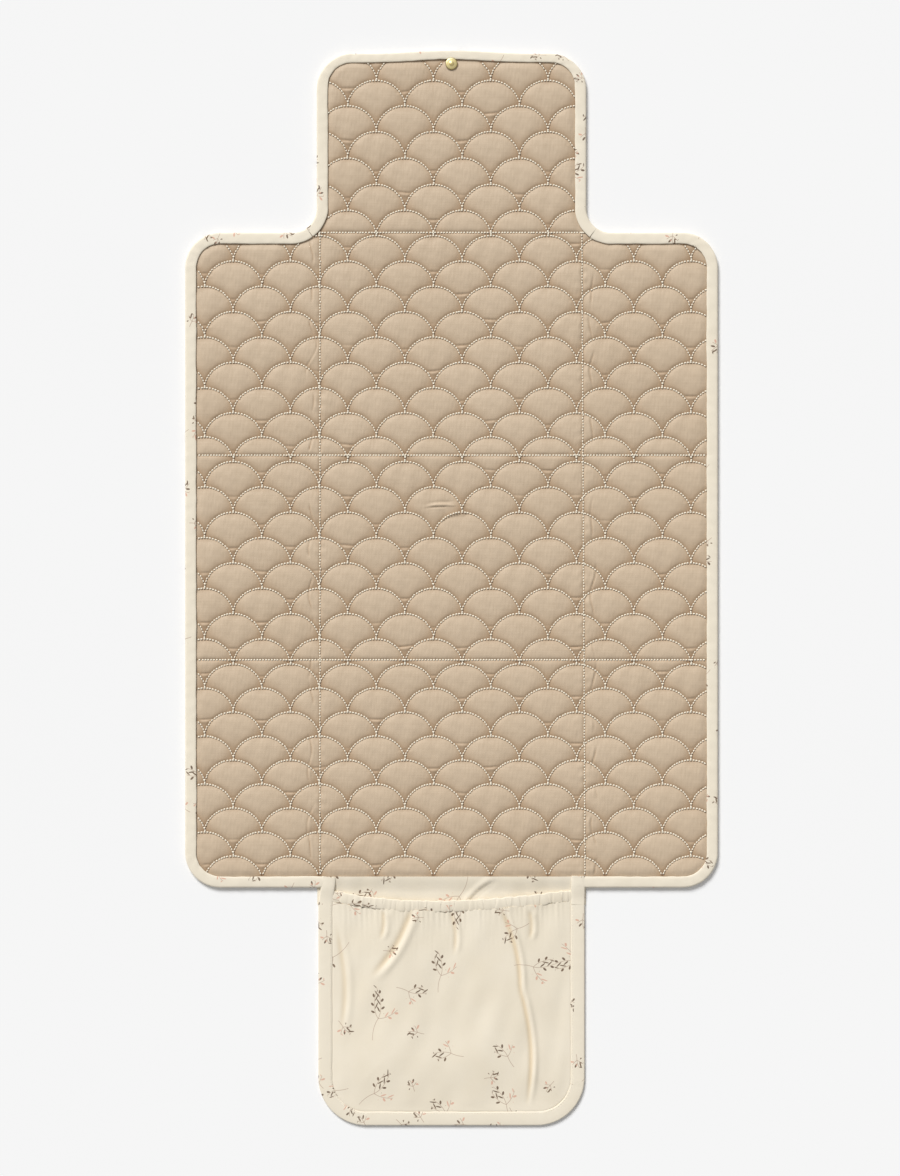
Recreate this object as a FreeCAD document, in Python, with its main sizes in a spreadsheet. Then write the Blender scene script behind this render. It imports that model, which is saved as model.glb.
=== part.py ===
"""A fold-up quilted changing mat: a column of panels with a wing on each side, a head flap that
snaps shut over the folded mat, and a gathered pocket flap at the foot.

Millimetres. The origin is the middle of the open mat, on the surface it lies on. +Y points to the head
flap and +Z up, out of the quilted face.
"""

import FreeCAD, Part
import os

import Sketcher

DRIVING_SIZES = (
    ("mat_width", 500, "over both wings"),
    ("column_width", 252, "between the two wing creases"),
    ("head_width", 253, "over the head flap's binding"),
    ("head_length", 171, "head crease to the head flap's end"),
    ("upper_length", 209, "head crease to upper crease"),
    ("middle_length", 192, "upper crease to lower crease"),
    ("lower_length", 214, "lower crease to foot crease"),
    ("pocket_length", 223, "foot crease to the pocket's end"),
    ("crease_gap", 0.5, "between two panels at a crease"),
    ("quilt_thickness", 4.2, "all three quilted layers"),
    ("cloth_thickness", 0.4, "face cloth, and back cloth"),
    ("corner_radius", 33, "outer corners of the head flap and wings"),
    ("inner_corner_radius", 23, "where the head flap meets a wing's end"),
    ("flare_reach", 16.5, "how far that corner's binding runs out from the head flap"),
    ("binding_width", 10.5, "visible width of the binding"),
    ("binding_base", 0.3, "underside of the binding above the surface"),
    ("binding_height", 3.6, "binding, leaf to leaf"),
    ("binding_wall", 0.8, "one leaf of the folded binding"),
    ("pocket_width", 250, "over the pocket's binding"),
    ("pocket_corner_radius", 45, "the pocket's two outer corners"),
    ("pocket_binding_width", 13, "visible width of the pocket's binding"),
    ("pocket_binding_height", 2.2, "the pocket's binding, leaf to leaf"),
    ("pocket_leaf", 0.4, "one leaf of the pocket's binding"),
    ("pocket_back_thickness", 1.0, "the pocket's back panel"),
    ("pocket_flange", 0.8, "edge of the front panel, held in the binding"),
    ("pocket_cloth", 0.8, "the front panel's own walls"),
    ("pocket_space", 4.5, "room inside the pocket"),
    ("mouth_drop", 6.5, "foot crease to the pocket's mouth"),
    ("casing_width", 11, "casing round the mouth elastic"),
    ("casing_height", 1.6, "casing round the mouth elastic"),
    ("elastic_width", 8, "mouth elastic"),
    ("elastic_thickness", 0.8, "mouth elastic"),
    ("snap_inset", 12.8, "snap's centre from the head flap's end"),
    ("stud_diameter", 11.3, "stud's disc on the face cloth"),
    ("stud_height", 0.9, "stud's disc above the face cloth"),
    ("stud_edge", 0.4, "rounding of the disc's rim"),
    ("nub_diameter", 3.6, "stud's nub"),
    ("nub_height", 1.5, "stud's nub above its disc"),
    ("post_diameter", 2.4, "stud's post through the quilt"),
    ("post_hole", 2.8, "hole in the cloth for the post"),
    ("cap_diameter", 10.6, "cap behind the stud"),
    ("cap_recess", 11.2, "hollow in the quilt for the cap"),
    ("cap_base", 0.2, "cap above the surface"),
    ("cap_top", 0.9, "top of the cap"),
    ("well_diameter", 12.6, "hollow in the back that holds the socket"),
    ("well_depth", 2.3, "depth of that hollow"),
    ("socket_diameter", 11.3, "snap socket"),
    ("socket_thickness", 1.4, "snap socket"),
    ("socket_mouth", 4.2, "hole in the socket, wider than the nub by its running gap"),
    ("patch_diameter", 24, "reinforcing patch in the middle panel"),
    ("ring_diameter", 9.2, "prong ring behind the patch"),
    ("ring_hole", 3.0, "prong ring's hole"),
    ("ring_thickness", 0.6, "prong ring"),
)

# Levels along Y and X, as expressions on the sheet.
FOOT = (
    "-(dims.head_length + dims.upper_length + dims.middle_length"
    " + dims.lower_length + dims.pocket_length) / 2"
)
FOOT_CREASE = f"{FOOT} + dims.pocket_length"
LOWER_CREASE = f"{FOOT_CREASE} + dims.lower_length"
UPPER_CREASE = f"{LOWER_CREASE} + dims.middle_length"
HEAD_CREASE = f"{UPPER_CREASE} + dims.upper_length"
HEAD_END = f"{HEAD_CREASE} + dims.head_length"
COLUMN = "dims.column_width / 2"
EDGE = "dims.mat_width / 2"
HEAD_SIDE = "dims.head_width / 2"
POCKET_SIDE = "dims.pocket_width / 2"

# Each stretch of quilt: its left, right, low and high limits, and which of them are bound edges.
STRETCHES = {
    "head": ((f"-{HEAD_SIDE}", HEAD_SIDE, HEAD_CREASE, HEAD_END), ("left", "right", "high")),
    "upper": ((f"-{COLUMN}", COLUMN, UPPER_CREASE, HEAD_CREASE), ()),
    "middle": ((f"-{COLUMN}", COLUMN, LOWER_CREASE, UPPER_CREASE), ()),
    "lower": ((f"-{COLUMN}", COLUMN, FOOT_CREASE, LOWER_CREASE), ("low",)),
}
for place, low, high, ends in (
    ("upper", UPPER_CREASE, HEAD_CREASE, ("high",)),
    ("middle", LOWER_CREASE, UPPER_CREASE, ()),
    ("lower", FOOT_CREASE, LOWER_CREASE, ("low",)),
):
    STRETCHES[f"left_wing_{place}"] = ((f"-{EDGE}", f"-{COLUMN}", low, high), ("left",) + ends)
    STRETCHES[f"right_wing_{place}"] = ((COLUMN, EDGE, low, high), ("right",) + ends)

POCKET = ((f"-{POCKET_SIDE}", POCKET_SIDE, FOOT, FOOT_CREASE), ("left", "right", "low"))

SIDES = ("left", "right", "low", "high")
CORNERS = (("left", "low"), ("right", "low"), ("right", "high"), ("left", "high"))

WADDING_TOP = "dims.quilt_thickness - dims.cloth_thickness"
SLOT_BASE = "dims.binding_base + dims.binding_wall"
SLOT_HEIGHT = "dims.binding_height - 2 * dims.binding_wall"
PATCH_TOP = "dims.well_depth + dims.cloth_thickness"
ROOF_BASE = "dims.pocket_back_thickness + dims.pocket_space"
CASING_BASE = f"{ROOF_BASE} - 0.2"
MOUTH = f"{FOOT_CREASE} - dims.mouth_drop"
STUD_PLACE = f"{HEAD_END} - dims.snap_inset"
# The stud's place mirrored in the head crease and then in the upper crease: where it meets its socket.
SOCKET_LEVEL = f"2 * ({UPPER_CREASE}) - 2 * ({HEAD_CREASE}) + {STUD_PLACE}"


def make_sheet(doc):
    """The spreadsheet of driving sizes, one alias a row."""
    sheet = doc.addObject("Spreadsheet::Sheet", "dims")
    for row, (alias, value, meaning) in enumerate(DRIVING_SIZES, start=1):
        sheet.set(f"A{row}", meaning)
        sheet.set(f"B{row}", str(value))
        sheet.setAlias(f"B{row}", alias)
    doc.recompute()
    return sheet


def make_body(doc, label):
    """An empty body for one piece of the mat."""
    body = doc.addObject("PartDesign::Body", label)
    body.Label = label
    return body


def new_sketch(body, name, height):
    """A sketch on the body's own horizontal plane, lifted to a height."""
    sketch = body.newObject("Sketcher::SketchObject", f"{body.Name}_{name}")
    plane = next(f for f in body.Origin.OriginFeatures if f.Role == "XY_Plane")
    sketch.AttachmentSupport = (plane, [""])
    sketch.MapMode = "FlatFace"
    sketch.setExpression("AttachmentOffset.Base.z", height)
    return sketch


def drive(sketch, kind, line, expression, point=1):
    """Fixes how far a line's point is from the origin along X or Y."""
    drawn = sketch.getPoint(line, point)
    value = drawn.x if kind == "DistanceX" else drawn.y
    number = sketch.addConstraint(Sketcher.Constraint(kind, -1, 1, line, point, value))
    sketch.setExpression(f"Constraints[{number}]", expression)


def limits(stretch, inset, gap="dims.crease_gap / 2"):
    """A stretch's four limits, its bound edges moved in by the inset and its creases by the gap."""
    levels, bound = stretch
    moved = {}
    for side, level in zip(SIDES, levels):
        sign = "+" if side in ("left", "low") else "-"
        moved[side] = f"{level} {sign} {inset if side in bound else gap}"
    return moved


def rectangle(body, name, levels, height, rounds=(), radius=None):
    """A sketched rectangle between four levels, with some of its corners rounded."""
    sketch = new_sketch(body, name, height)
    start = [FreeCAD.Vector(x, y, 0) for x, y in ((-9, -9), (9, -9), (9, 9), (-9, 9))]
    for i in range(4):
        sketch.addGeometry(Part.LineSegment(start[i], start[(i + 1) % 4]))
    for line, kind in enumerate(("Horizontal", "Vertical", "Horizontal", "Vertical")):
        sketch.addConstraint(Sketcher.Constraint(kind, line))
    for corner, sides in enumerate(CORNERS):
        before = (corner - 1) % 4
        if sides in rounds:
            round_corner(sketch, start[corner], before, corner, radius)
        else:
            sketch.addConstraint(Sketcher.Constraint("Coincident", before, 2, corner, 1))
    for line, side in enumerate(("low", "right", "high", "left")):
        drive(sketch, "DistanceY" if line % 2 == 0 else "DistanceX", line, levels[side])
    return sketch


def round_corner(sketch, corner, before, after, radius):
    """An arc that leaves one line and enters the next at a tangent."""
    centre = corner * 0.8
    turn = {0: 2, 1: 3, 2: 0, 3: 1}[after]
    circle = Part.Circle(centre, FreeCAD.Vector(0, 0, 1), 1.8)
    quarter = 3.141592653589793 / 2
    arc = sketch.addGeometry(Part.ArcOfCircle(circle, turn * quarter, (turn + 1) * quarter))
    sketch.addConstraint(Sketcher.Constraint("Tangent", before, 2, arc, 1))
    sketch.addConstraint(Sketcher.Constraint("Tangent", arc, 2, after, 1))
    number = sketch.addConstraint(Sketcher.Constraint("Radius", arc, 1.8))
    sketch.setExpression(f"Constraints[{number}]", radius)


def circle(body, name, height, diameter, across="0", along="0"):
    """A sketched circle at a place given by expressions."""
    sketch = new_sketch(body, name, height)
    normal = FreeCAD.Vector(0, 0, 1)
    sketch.addGeometry(Part.Circle(FreeCAD.Vector(2, 5, 0), normal, 3))
    drive(sketch, "DistanceX", 0, across, point=3)
    drive(sketch, "DistanceY", 0, along, point=3)
    number = sketch.addConstraint(Sketcher.Constraint("Diameter", 0, 6.0))
    sketch.setExpression(f"Constraints[{number}]", diameter)
    return sketch


def pad(body, sketch, height):
    """Raises a sketch into material."""
    feature = body.newObject("PartDesign::Pad", f"{sketch.Name}_pad")
    feature.Profile = sketch
    feature.setExpression("Length", height)
    sketch.Visibility = False
    return feature


def pocket(body, sketch, height):
    """Cuts upward from a sketch by a height."""
    feature = body.newObject("PartDesign::Pocket", f"{sketch.Name}_pocket")
    feature.Profile = sketch
    feature.Reversed = True
    feature.setExpression("Length", height)
    return feature


def rounded(bound):
    """The corners where two bound edges meet."""
    return tuple(corner for corner in CORNERS if corner[0] in bound and corner[1] in bound)


def slab(body, name, stretch, inset, base, height, radius):
    """A flat layer of a stretch."""
    corner = f"{radius} - {inset}"
    sketch = rectangle(body, name, limits(stretch, inset), base, rounded(stretch[1]), corner)
    return pad(body, sketch, height)


def hollow(body, name, stretch, inset, base, height, radius):
    """A flat hollow in a stretch."""
    corner = f"{radius} - {inset}"
    sketch = rectangle(body, name, limits(stretch, inset), base, rounded(stretch[1]), corner)
    return pocket(body, sketch, height)


def make_layers(doc, name, stretch):
    """Face cloth, wadding with its pressed edge, and back cloth of one stretch."""
    width, radius = "dims.binding_width", "dims.corner_radius"
    face = make_body(doc, f"{name}_face_cloth")
    slab(face, "cloth", stretch, width, WADDING_TOP, "dims.cloth_thickness", radius)
    wadding = make_body(doc, f"{name}_wadding")
    slab(
        wadding,
        "block",
        stretch,
        width,
        "dims.cloth_thickness",
        f"{WADDING_TOP} - dims.cloth_thickness",
        radius,
    )
    if stretch[1]:
        slab(wadding, "edge", stretch, "dims.binding_wall", SLOT_BASE, SLOT_HEIGHT, radius)
    back = make_body(doc, f"{name}_back_cloth")
    slab(back, "cloth", stretch, width, "0", "dims.cloth_thickness", radius)
    return face, wadding, back


def make_binding(doc, name, stretch):
    """Tape folded over the wadding's edge: a frame with a slot along its inner side."""
    radius = "dims.corner_radius"
    body = make_body(doc, f"{name}_binding")
    slab(body, "tape", stretch, "0", "dims.binding_base", "dims.binding_height", radius)
    hollow(body, "opening", stretch, "dims.binding_width", "0", "dims.quilt_thickness", radius)
    hollow(body, "slot", stretch, "dims.binding_wall", SLOT_BASE, SLOT_HEIGHT, radius)
    return body


def add_flares(body):
    """Binding that curves out from the head flap's sides towards the wings' ends."""
    sketch = new_sketch(body, "flare", "dims.binding_base")
    for sign in ("-", ""):
        flare(sketch, sign)
    pad(body, sketch, "dims.binding_height")


def flare(sketch, sign):
    """One flare: up the head flap's side, back along the inside corner's arc, down and home."""
    way = -1 if sign else 1
    root, top = FreeCAD.Vector(127 * way, 334, 0), FreeCAD.Vector(127 * way, 357, 0)
    knee, tip = FreeCAD.Vector(134 * way, 340, 0), FreeCAD.Vector(143 * way, 334.4, 0)
    foot = FreeCAD.Vector(143 * way, 333.8, 0)
    up = sketch.addGeometry(Part.LineSegment(root, top))
    arc = sketch.addGeometry(Part.Arc(top, knee, tip))
    down = sketch.addGeometry(Part.LineSegment(tip, foot))
    home = sketch.addGeometry(Part.LineSegment(foot, root))
    arc_top, arc_tip = (1, 2) if sketch.getPoint(arc, 1).isEqual(top, 0.01) else (2, 1)
    for first, first_end, second, second_end in (
        (up, 2, arc, arc_top),
        (arc, arc_tip, down, 1),
        (down, 2, home, 1),
        (home, 2, up, 1),
    ):
        joined = Sketcher.Constraint("Coincident", first, first_end, second, second_end)
        sketch.addConstraint(joined)
    sketch.addConstraint(Sketcher.Constraint("Vertical", up))
    sketch.addConstraint(Sketcher.Constraint("Vertical", down))
    sketch.addConstraint(Sketcher.Constraint("Horizontal", home))
    centre = f"({HEAD_SIDE} + dims.inner_corner_radius)"
    drive(sketch, "DistanceX", up, f"{sign}{HEAD_SIDE}")
    drive(sketch, "DistanceX", down, f"{sign}({HEAD_SIDE} + dims.flare_reach)")
    drive(sketch, "DistanceY", home, f"{HEAD_CREASE} + dims.crease_gap / 2")
    drive(sketch, "DistanceX", arc, f"{sign}{centre}", point=3)
    drive(sketch, "DistanceY", arc, f"{HEAD_CREASE} + dims.inner_corner_radius", point=3)
    drive(sketch, "DistanceY", up, f"{HEAD_CREASE} + dims.inner_corner_radius", point=2)


def bore(body, name, height, diameter, depth, along):
    """Cuts a round hole upward from a height, on the mat's long axis."""
    return pocket(body, circle(body, name, height, diameter, along=along), depth)


def disc(body, name, height, diameter, thickness, along):
    """A round disc on the mat's long axis."""
    return pad(body, circle(body, name, height, diameter, along=along), thickness)


def make_pocket(doc):
    """Back panel, front panel with its casing, elastic and binding of the pocket flap."""
    radius, width = "dims.pocket_corner_radius", "dims.pocket_binding_width"
    leaf = "dims.pocket_leaf"
    grip = f"dims.pocket_back_thickness - {leaf}"
    back = make_body(doc, "pocket_back_panel")
    slab(back, "sheet", POCKET, width, "0", "dims.pocket_back_thickness", radius)
    slab(back, "edge", POCKET, leaf, leaf, grip, radius)
    binding = make_body(doc, "pocket_binding")
    slab(binding, "tape", POCKET, "0", "0", "dims.pocket_binding_height", radius)
    hollow(binding, "opening", POCKET, width, "0", "dims.pocket_binding_height", radius)
    hollow(binding, "slot", POCKET, leaf, leaf, f"{grip} + dims.pocket_flange", radius)
    return back, make_pocket_front(doc), make_elastic(doc), binding


def below_mouth(levels):
    """Limits that stop at the pocket's mouth."""
    return {**levels, "high": MOUTH}


def across_mouth(inset, drop, width):
    """Limits of a strip along the mouth, inset at its ends, below the mouth by a drop."""
    return {
        "left": f"-{POCKET_SIDE} + {inset}",
        "right": f"{POCKET_SIDE} - ({inset})",
        "low": f"{MOUTH} - {drop} - {width}",
        "high": f"{MOUTH} - {drop}",
    }


def make_pocket_front(doc):
    """A shallow tray turned over: a held edge, walls and a roof, open at the mouth, with a casing."""
    body = make_body(doc, "pocket_front_panel")
    rounds, radius = rounded(POCKET[1]), "dims.pocket_corner_radius"
    inside = "dims.pocket_binding_width + dims.pocket_cloth"
    base = "dims.pocket_back_thickness"
    for name, inset, height in (
        ("edge", "dims.pocket_leaf", "dims.pocket_flange"),
        ("tray", "dims.pocket_binding_width", "dims.pocket_space + dims.pocket_cloth"),
    ):
        levels = below_mouth(limits(POCKET, inset))
        pad(body, rectangle(body, name, levels, base, rounds, f"{radius} - {inset}"), height)
    levels = below_mouth(limits(POCKET, inside))
    room = rectangle(body, "room", levels, base, rounds, f"{radius} - ({inside})")
    pocket(body, room, "dims.pocket_space")
    casing = across_mouth("dims.pocket_binding_width", "0", "dims.casing_width")
    pad(body, rectangle(body, "casing", casing, CASING_BASE), "dims.casing_height")
    channel = elastic_limits()
    pocket(body, rectangle(body, "channel", channel, elastic_base()), "dims.elastic_thickness")
    return body


def elastic_limits():
    """The elastic lies along the middle of the casing."""
    side = "(dims.casing_width - dims.elastic_width) / 2"
    ends = "dims.pocket_binding_width + dims.pocket_cloth"
    return across_mouth(ends, side, "dims.elastic_width")


def elastic_base():
    """Height of the elastic, in the middle of the casing's thickness."""
    return f"{CASING_BASE} + (dims.casing_height - dims.elastic_thickness) / 2"


def make_elastic(doc):
    """The flat elastic inside the casing."""
    body = make_body(doc, "pocket_elastic")
    sketch = rectangle(body, "band", elastic_limits(), elastic_base())
    pad(body, sketch, "dims.elastic_thickness")
    return body


def make_stud(doc):
    """The snap's stud on the face of the head flap, with its post and the cap behind."""
    top, foot = "dims.quilt_thickness", "dims.cap_top"
    stud = make_body(doc, "snap_stud")
    disc(stud, "disc", top, "dims.stud_diameter", "dims.stud_height", STUD_PLACE)
    disc(stud, "post", foot, "dims.post_diameter", f"{top} - {foot}", STUD_PLACE)
    nub_base = f"{top} + dims.stud_height"
    disc(stud, "nub", nub_base, "dims.nub_diameter", "dims.nub_height", STUD_PLACE)
    doc.recompute()
    soften_rim(doc, stud)
    cap = make_body(doc, "snap_stud_cap")
    disc(cap, "plate", "dims.cap_base", "dims.cap_diameter", f"{foot} - dims.cap_base", STUD_PLACE)
    return stud, cap


def soften_rim(doc, stud):
    """Rounds the outer top edge of the stud's disc."""
    sheet = doc.getObject("dims")
    height = sheet.get("quilt_thickness") + sheet.get("stud_height")
    half = sheet.get("stud_diameter") / 2
    solid = stud.Tip
    rims = [
        f"Edge{number}"
        for number, edge in enumerate(solid.Shape.Edges, start=1)
        if isinstance(edge.Curve, Part.Circle)
        and abs(edge.Curve.Radius - half) < 0.01
        and abs(edge.Curve.Center.z - height) < 0.01
    ]
    fillet = stud.newObject("PartDesign::Fillet", "snap_stud_fillet")
    fillet.Base = (solid, rims)
    fillet.setExpression("Radius", "dims.stud_edge")


def make_socket(doc):
    """The socket in the back of the middle panel, its reinforcing patch and prong ring."""
    socket = make_body(doc, "snap_socket")
    base, thick = "dims.well_depth - dims.socket_thickness", "dims.socket_thickness"
    disc(socket, "plate", base, "dims.socket_diameter", thick, SOCKET_LEVEL)
    bore(socket, "mouth", base, "dims.socket_mouth", thick, SOCKET_LEVEL)
    patch = make_body(doc, "snap_patch")
    size, cloth = "dims.patch_diameter", "dims.cloth_thickness"
    disc(patch, "cloth", "dims.well_depth", size, cloth, SOCKET_LEVEL)
    ring = make_body(doc, "snap_prong_ring")
    disc(ring, "ring", PATCH_TOP, "dims.ring_diameter", "dims.ring_thickness", SOCKET_LEVEL)
    bore(ring, "eye", PATCH_TOP, "dims.ring_hole", "dims.ring_thickness", SOCKET_LEVEL)
    return socket, patch, ring


def fit_stud(face, wadding, back, binding):
    """Clears the head flap's layers for the stud's post and cap."""
    thick = "dims.quilt_thickness"
    for body in (face, wadding, back):
        bore(body, "post_hole", "0", "dims.post_hole", thick, STUD_PLACE)
    for body in (wadding, back):
        bore(body, "cap_hollow", "0", "dims.cap_recess", "dims.cap_top", STUD_PLACE)
    bore(binding, "cap_notch", "0", "dims.cap_recess", SLOT_BASE, STUD_PLACE)


def fit_socket(wadding, back):
    """Clears the middle panel's layers for the socket, patch and prong ring."""
    for body in (wadding, back):
        bore(body, "well", "0", "dims.well_diameter", "dims.well_depth", SOCKET_LEVEL)
    cloth, ring = "dims.cloth_thickness", "dims.ring_thickness"
    bore(wadding, "patch_room", "dims.well_depth", "dims.patch_diameter", cloth, SOCKET_LEVEL)
    bore(wadding, "ring_room", PATCH_TOP, "dims.ring_diameter", ring, SOCKET_LEVEL)


def build(doc):
    """All pieces of the mat."""
    make_sheet(doc)
    pieces = []
    for name, stretch in STRETCHES.items():
        layers = make_layers(doc, name, stretch)
        pieces.extend(layers)
        binding = make_binding(doc, name, stretch) if stretch[1] else None
        if binding:
            pieces.append(binding)
        if name == "head":
            add_flares(binding)
            fit_stud(*layers, binding)
        if name == "middle":
            fit_socket(*layers[1:])
    pieces.extend(make_pocket(doc))
    pieces.extend(make_stud(doc))
    pieces.extend(make_socket(doc))
    return pieces


def check(doc, pieces):
    """Stops unless every object was made and every piece is one valid solid."""
    doc.recompute()
    for thing in doc.Objects:
        bad = [state for state in thing.State if state in ("Invalid", "Error")]
        if bad:
            raise RuntimeError(f"{thing.Label} is {bad[0]}")
    for body in pieces:
        shape = body.Shape
        if shape.isNull() or not shape.isValid() or len(shape.Solids) != 1:
            raise RuntimeError(f"{body.Label} isn't one valid solid")


def export(pieces):
    """Writes each piece to its own STEP file."""
    os.makedirs("parts", exist_ok=True)
    for body in pieces:
        body.Shape.exportStep(f"parts/{body.Label}.step")
        box = body.Shape.BoundBox
        print(f"{body.Label}: {body.Shape.Volume:.0f} mm3, z {box.ZMin:.2f} to {box.ZMax:.2f}")


def main():
    doc = FreeCAD.newDocument("changing_mat")
    pieces = build(doc)
    check(doc, pieces)
    export(pieces)


main()
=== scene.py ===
"""A fold-up quilted changing mat, seen from straight above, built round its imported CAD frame.

Every size is in metres. +Y points to the head flap and +Z up out of the quilted face.
"""

import math

import bmesh
import bpy
import numpy as np
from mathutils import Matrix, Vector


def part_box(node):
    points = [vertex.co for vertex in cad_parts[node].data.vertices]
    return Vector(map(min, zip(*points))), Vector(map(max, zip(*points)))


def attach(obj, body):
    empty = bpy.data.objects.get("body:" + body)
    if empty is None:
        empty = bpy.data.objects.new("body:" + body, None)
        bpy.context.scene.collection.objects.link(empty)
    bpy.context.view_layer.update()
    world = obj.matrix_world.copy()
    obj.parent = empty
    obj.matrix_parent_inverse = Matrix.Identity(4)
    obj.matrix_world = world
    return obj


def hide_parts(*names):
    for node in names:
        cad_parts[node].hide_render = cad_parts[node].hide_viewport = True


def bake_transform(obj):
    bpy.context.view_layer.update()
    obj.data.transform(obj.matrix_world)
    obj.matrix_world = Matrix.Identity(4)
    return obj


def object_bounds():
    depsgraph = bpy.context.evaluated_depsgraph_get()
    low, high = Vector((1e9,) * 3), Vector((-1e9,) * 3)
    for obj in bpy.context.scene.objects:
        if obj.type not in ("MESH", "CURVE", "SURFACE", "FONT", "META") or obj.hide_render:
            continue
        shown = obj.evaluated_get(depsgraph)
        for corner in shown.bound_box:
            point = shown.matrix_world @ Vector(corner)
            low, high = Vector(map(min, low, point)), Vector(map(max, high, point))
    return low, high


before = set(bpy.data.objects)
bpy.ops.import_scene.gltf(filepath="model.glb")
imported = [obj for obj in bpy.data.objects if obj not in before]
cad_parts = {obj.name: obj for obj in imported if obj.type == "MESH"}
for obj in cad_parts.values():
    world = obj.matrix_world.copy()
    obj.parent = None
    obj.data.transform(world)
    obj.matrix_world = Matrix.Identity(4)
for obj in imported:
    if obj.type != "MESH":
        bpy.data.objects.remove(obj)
CAD_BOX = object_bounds()
MM = 0.001


def low(node, axis):
    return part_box(node)[0][axis]


def high(node, axis):
    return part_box(node)[1][axis]


def between(lower, upper, axis):
    """The crease between two nodes."""
    return (high(lower, axis) + low(upper, axis)) / 2


# Creases and edges of the mat, from the frame.
HEAD_END = high("head_binding", 1)
HEAD_CREASE = between("upper_wadding", "head_wadding", 1)
UPPER_CREASE = between("middle_wadding", "upper_wadding", 1)
LOWER_CREASE = between("lower_wadding", "middle_wadding", 1)
FOOT_CREASE = between("pocket_back_panel", "lower_wadding", 1)
FOOT_END = low("pocket_binding", 1)
SIDE_CREASE = between("upper_wadding", "right_wing_upper_wadding", 0)
SIDE_EDGE = high("right_wing_upper_binding", 0)
TAPE = high("head_binding", 1) - high("head_face_cloth", 1)
HEAD_SIDE = high("head_face_cloth", 0) + TAPE
POCKET_SIDE = high("pocket_binding", 0)
SNAP_Y = (low("snap_stud", 1) + high("snap_stud", 1)) / 2
SOCKET_Y = (low("snap_socket", 1) + high("snap_socket", 1)) / 2

# The rounding of the mat's outer corners, of the flares beside the head, and of the pocket's end.
CORNER = 33 * MM
INNER_CORNER = 23 * MM
POCKET_CORNER = 45 * MM

# The quilt's levels: its middle, its stitched valleys, its highest point and its edge in the tape.
# PUFF is how far it rises between the valleys, and GRID is how far apart its mesh's points are.
MIDDLE_LEVEL = 0.8 * MM
VALLEY = 2.0 * MM
FACE_TOP = 4.7 * MM
TUCKED_TOP = 2.75 * MM
PUFF = 2.3 * MM
GRID = 0.9 * MM

# The scallops: their spacing, the first crown, their arcs, and how far the rows stray.
PITCH = 53.7 * MM
ROW = 23.78 * MM
CROWN_X = 9.9 * MM
CROWN_Y = 118.6 * MM
ARC_DROP = 21.0 * MM
ARC_RADIUS = ((PITCH / 2) ** 2 + ARC_DROP**2) / (2 * ARC_DROP)
ARC_END = math.asin(PITCH / 2 / ARC_RADIUS)
ROW_SHIFT = -2.0 * MM
FOOT_ROW_SHARE = 0.056

# The valley beside a stitched line: half its flat floor, and for each side of the line the share
# that rises sharply, and how far the sharp and the soft rise reach.
FLOOR = 0.2 * MM
ABOVE_ARC = (0.42, 0.9 * MM, 6.5 * MM)
UNDER_ARC = (0.25, 1.5 * MM, 4.5 * MM)
BESIDE_STEM = (0.4, 1.2 * MM, 3.0 * MM)

# The thread: its stitch length, the long lines beside the column, each stitch's length, width and
# height, and how high the thread lies above the face, at the back and on the pocket's tape.
STITCH = 2.72 * MM
SIDE_STITCH = SIDE_CREASE - 2.6 * MM
SIDE_LEAN = 3.0 * MM
FACE_THREAD = (2.1 * MM, 1.6 * MM, 1.05 * MM)
BACK_THREAD = (2.1 * MM, 0.8 * MM, 0.56 * MM)
SEAM_THREAD = (2.0 * MM, 0.5 * MM, 0.4 * MM)
THREAD_RISE = 0.7 * MM
BACK_THREAD_LEVEL = 0.32 * MM
SEAM_LEVEL = 2.62 * MM

# How far the cloth that bends reaches: up the head flap, to each side of the upper, lower and side
# creases, and down the pocket, whose strip of cloth ends a little further down.
HEAD_BEND = 24 * MM
UPPER_BEND = 14 * MM
LOWER_BEND = 12 * MM
SIDE_BEND = 7 * MM
FOOT_BEND = 11 * MM
POCKET_ROOT = FOOT_CREASE - 16 * MM

# The tape: how far inside its outer edge the quilt ends, its inner edge at the foot, its height, and
# how far up from the head crease the flare's two tapes part.
TUCK = 5.5 * MM
FOOT_SEAM = FOOT_CREASE + TAPE
TAPE_HEIGHT = 3.95 * MM
FLARE_SPLIT = 4.3 * MM


def smooth(value, start, end):
    """0 before start, 1 after end, and smooth between."""
    share = np.clip((value - start) / (end - start), 0, 1)
    return share * share * (3 - 2 * share)


def bell(value, width):
    """1 at nought, falling away to each side."""
    return np.exp(-((value / width) ** 2))


def chance(a, b, seed):
    """A repeatable random number from 0 to 1 for each pair of whole numbers."""
    mixed = np.sin(a * 127.1 + b * 311.7 + seed * 74.7) * 43758.5453
    return mixed - np.floor(mixed)


def hills(x, y, size, seed, count=7):
    """Smooth random hills about one size across, mostly from -1 to 1."""
    random = np.random.default_rng(seed)
    total = np.zeros_like(x * y)
    for _ in range(count):
        angle, phase = random.uniform(0, 2 * math.pi, 2)
        wave = 2 * math.pi / (size * random.uniform(0.7, 1.4))
        total += np.sin((x * math.cos(angle) + y * math.sin(angle)) * wave + phase)
    return total / math.sqrt(count)


def inside_box(x, y, left, right, bottom, top, radius):
    """How far inside a box with rounded corners a point is."""
    across = np.abs(x - (left + right) / 2) - (right - left) / 2 + radius
    along = np.abs(y - (bottom + top) / 2) - (top - bottom) / 2 + radius
    outer = np.hypot(np.maximum(across, 0), np.maximum(along, 0))
    return radius - outer - np.minimum(np.maximum(across, along), 0)


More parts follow.
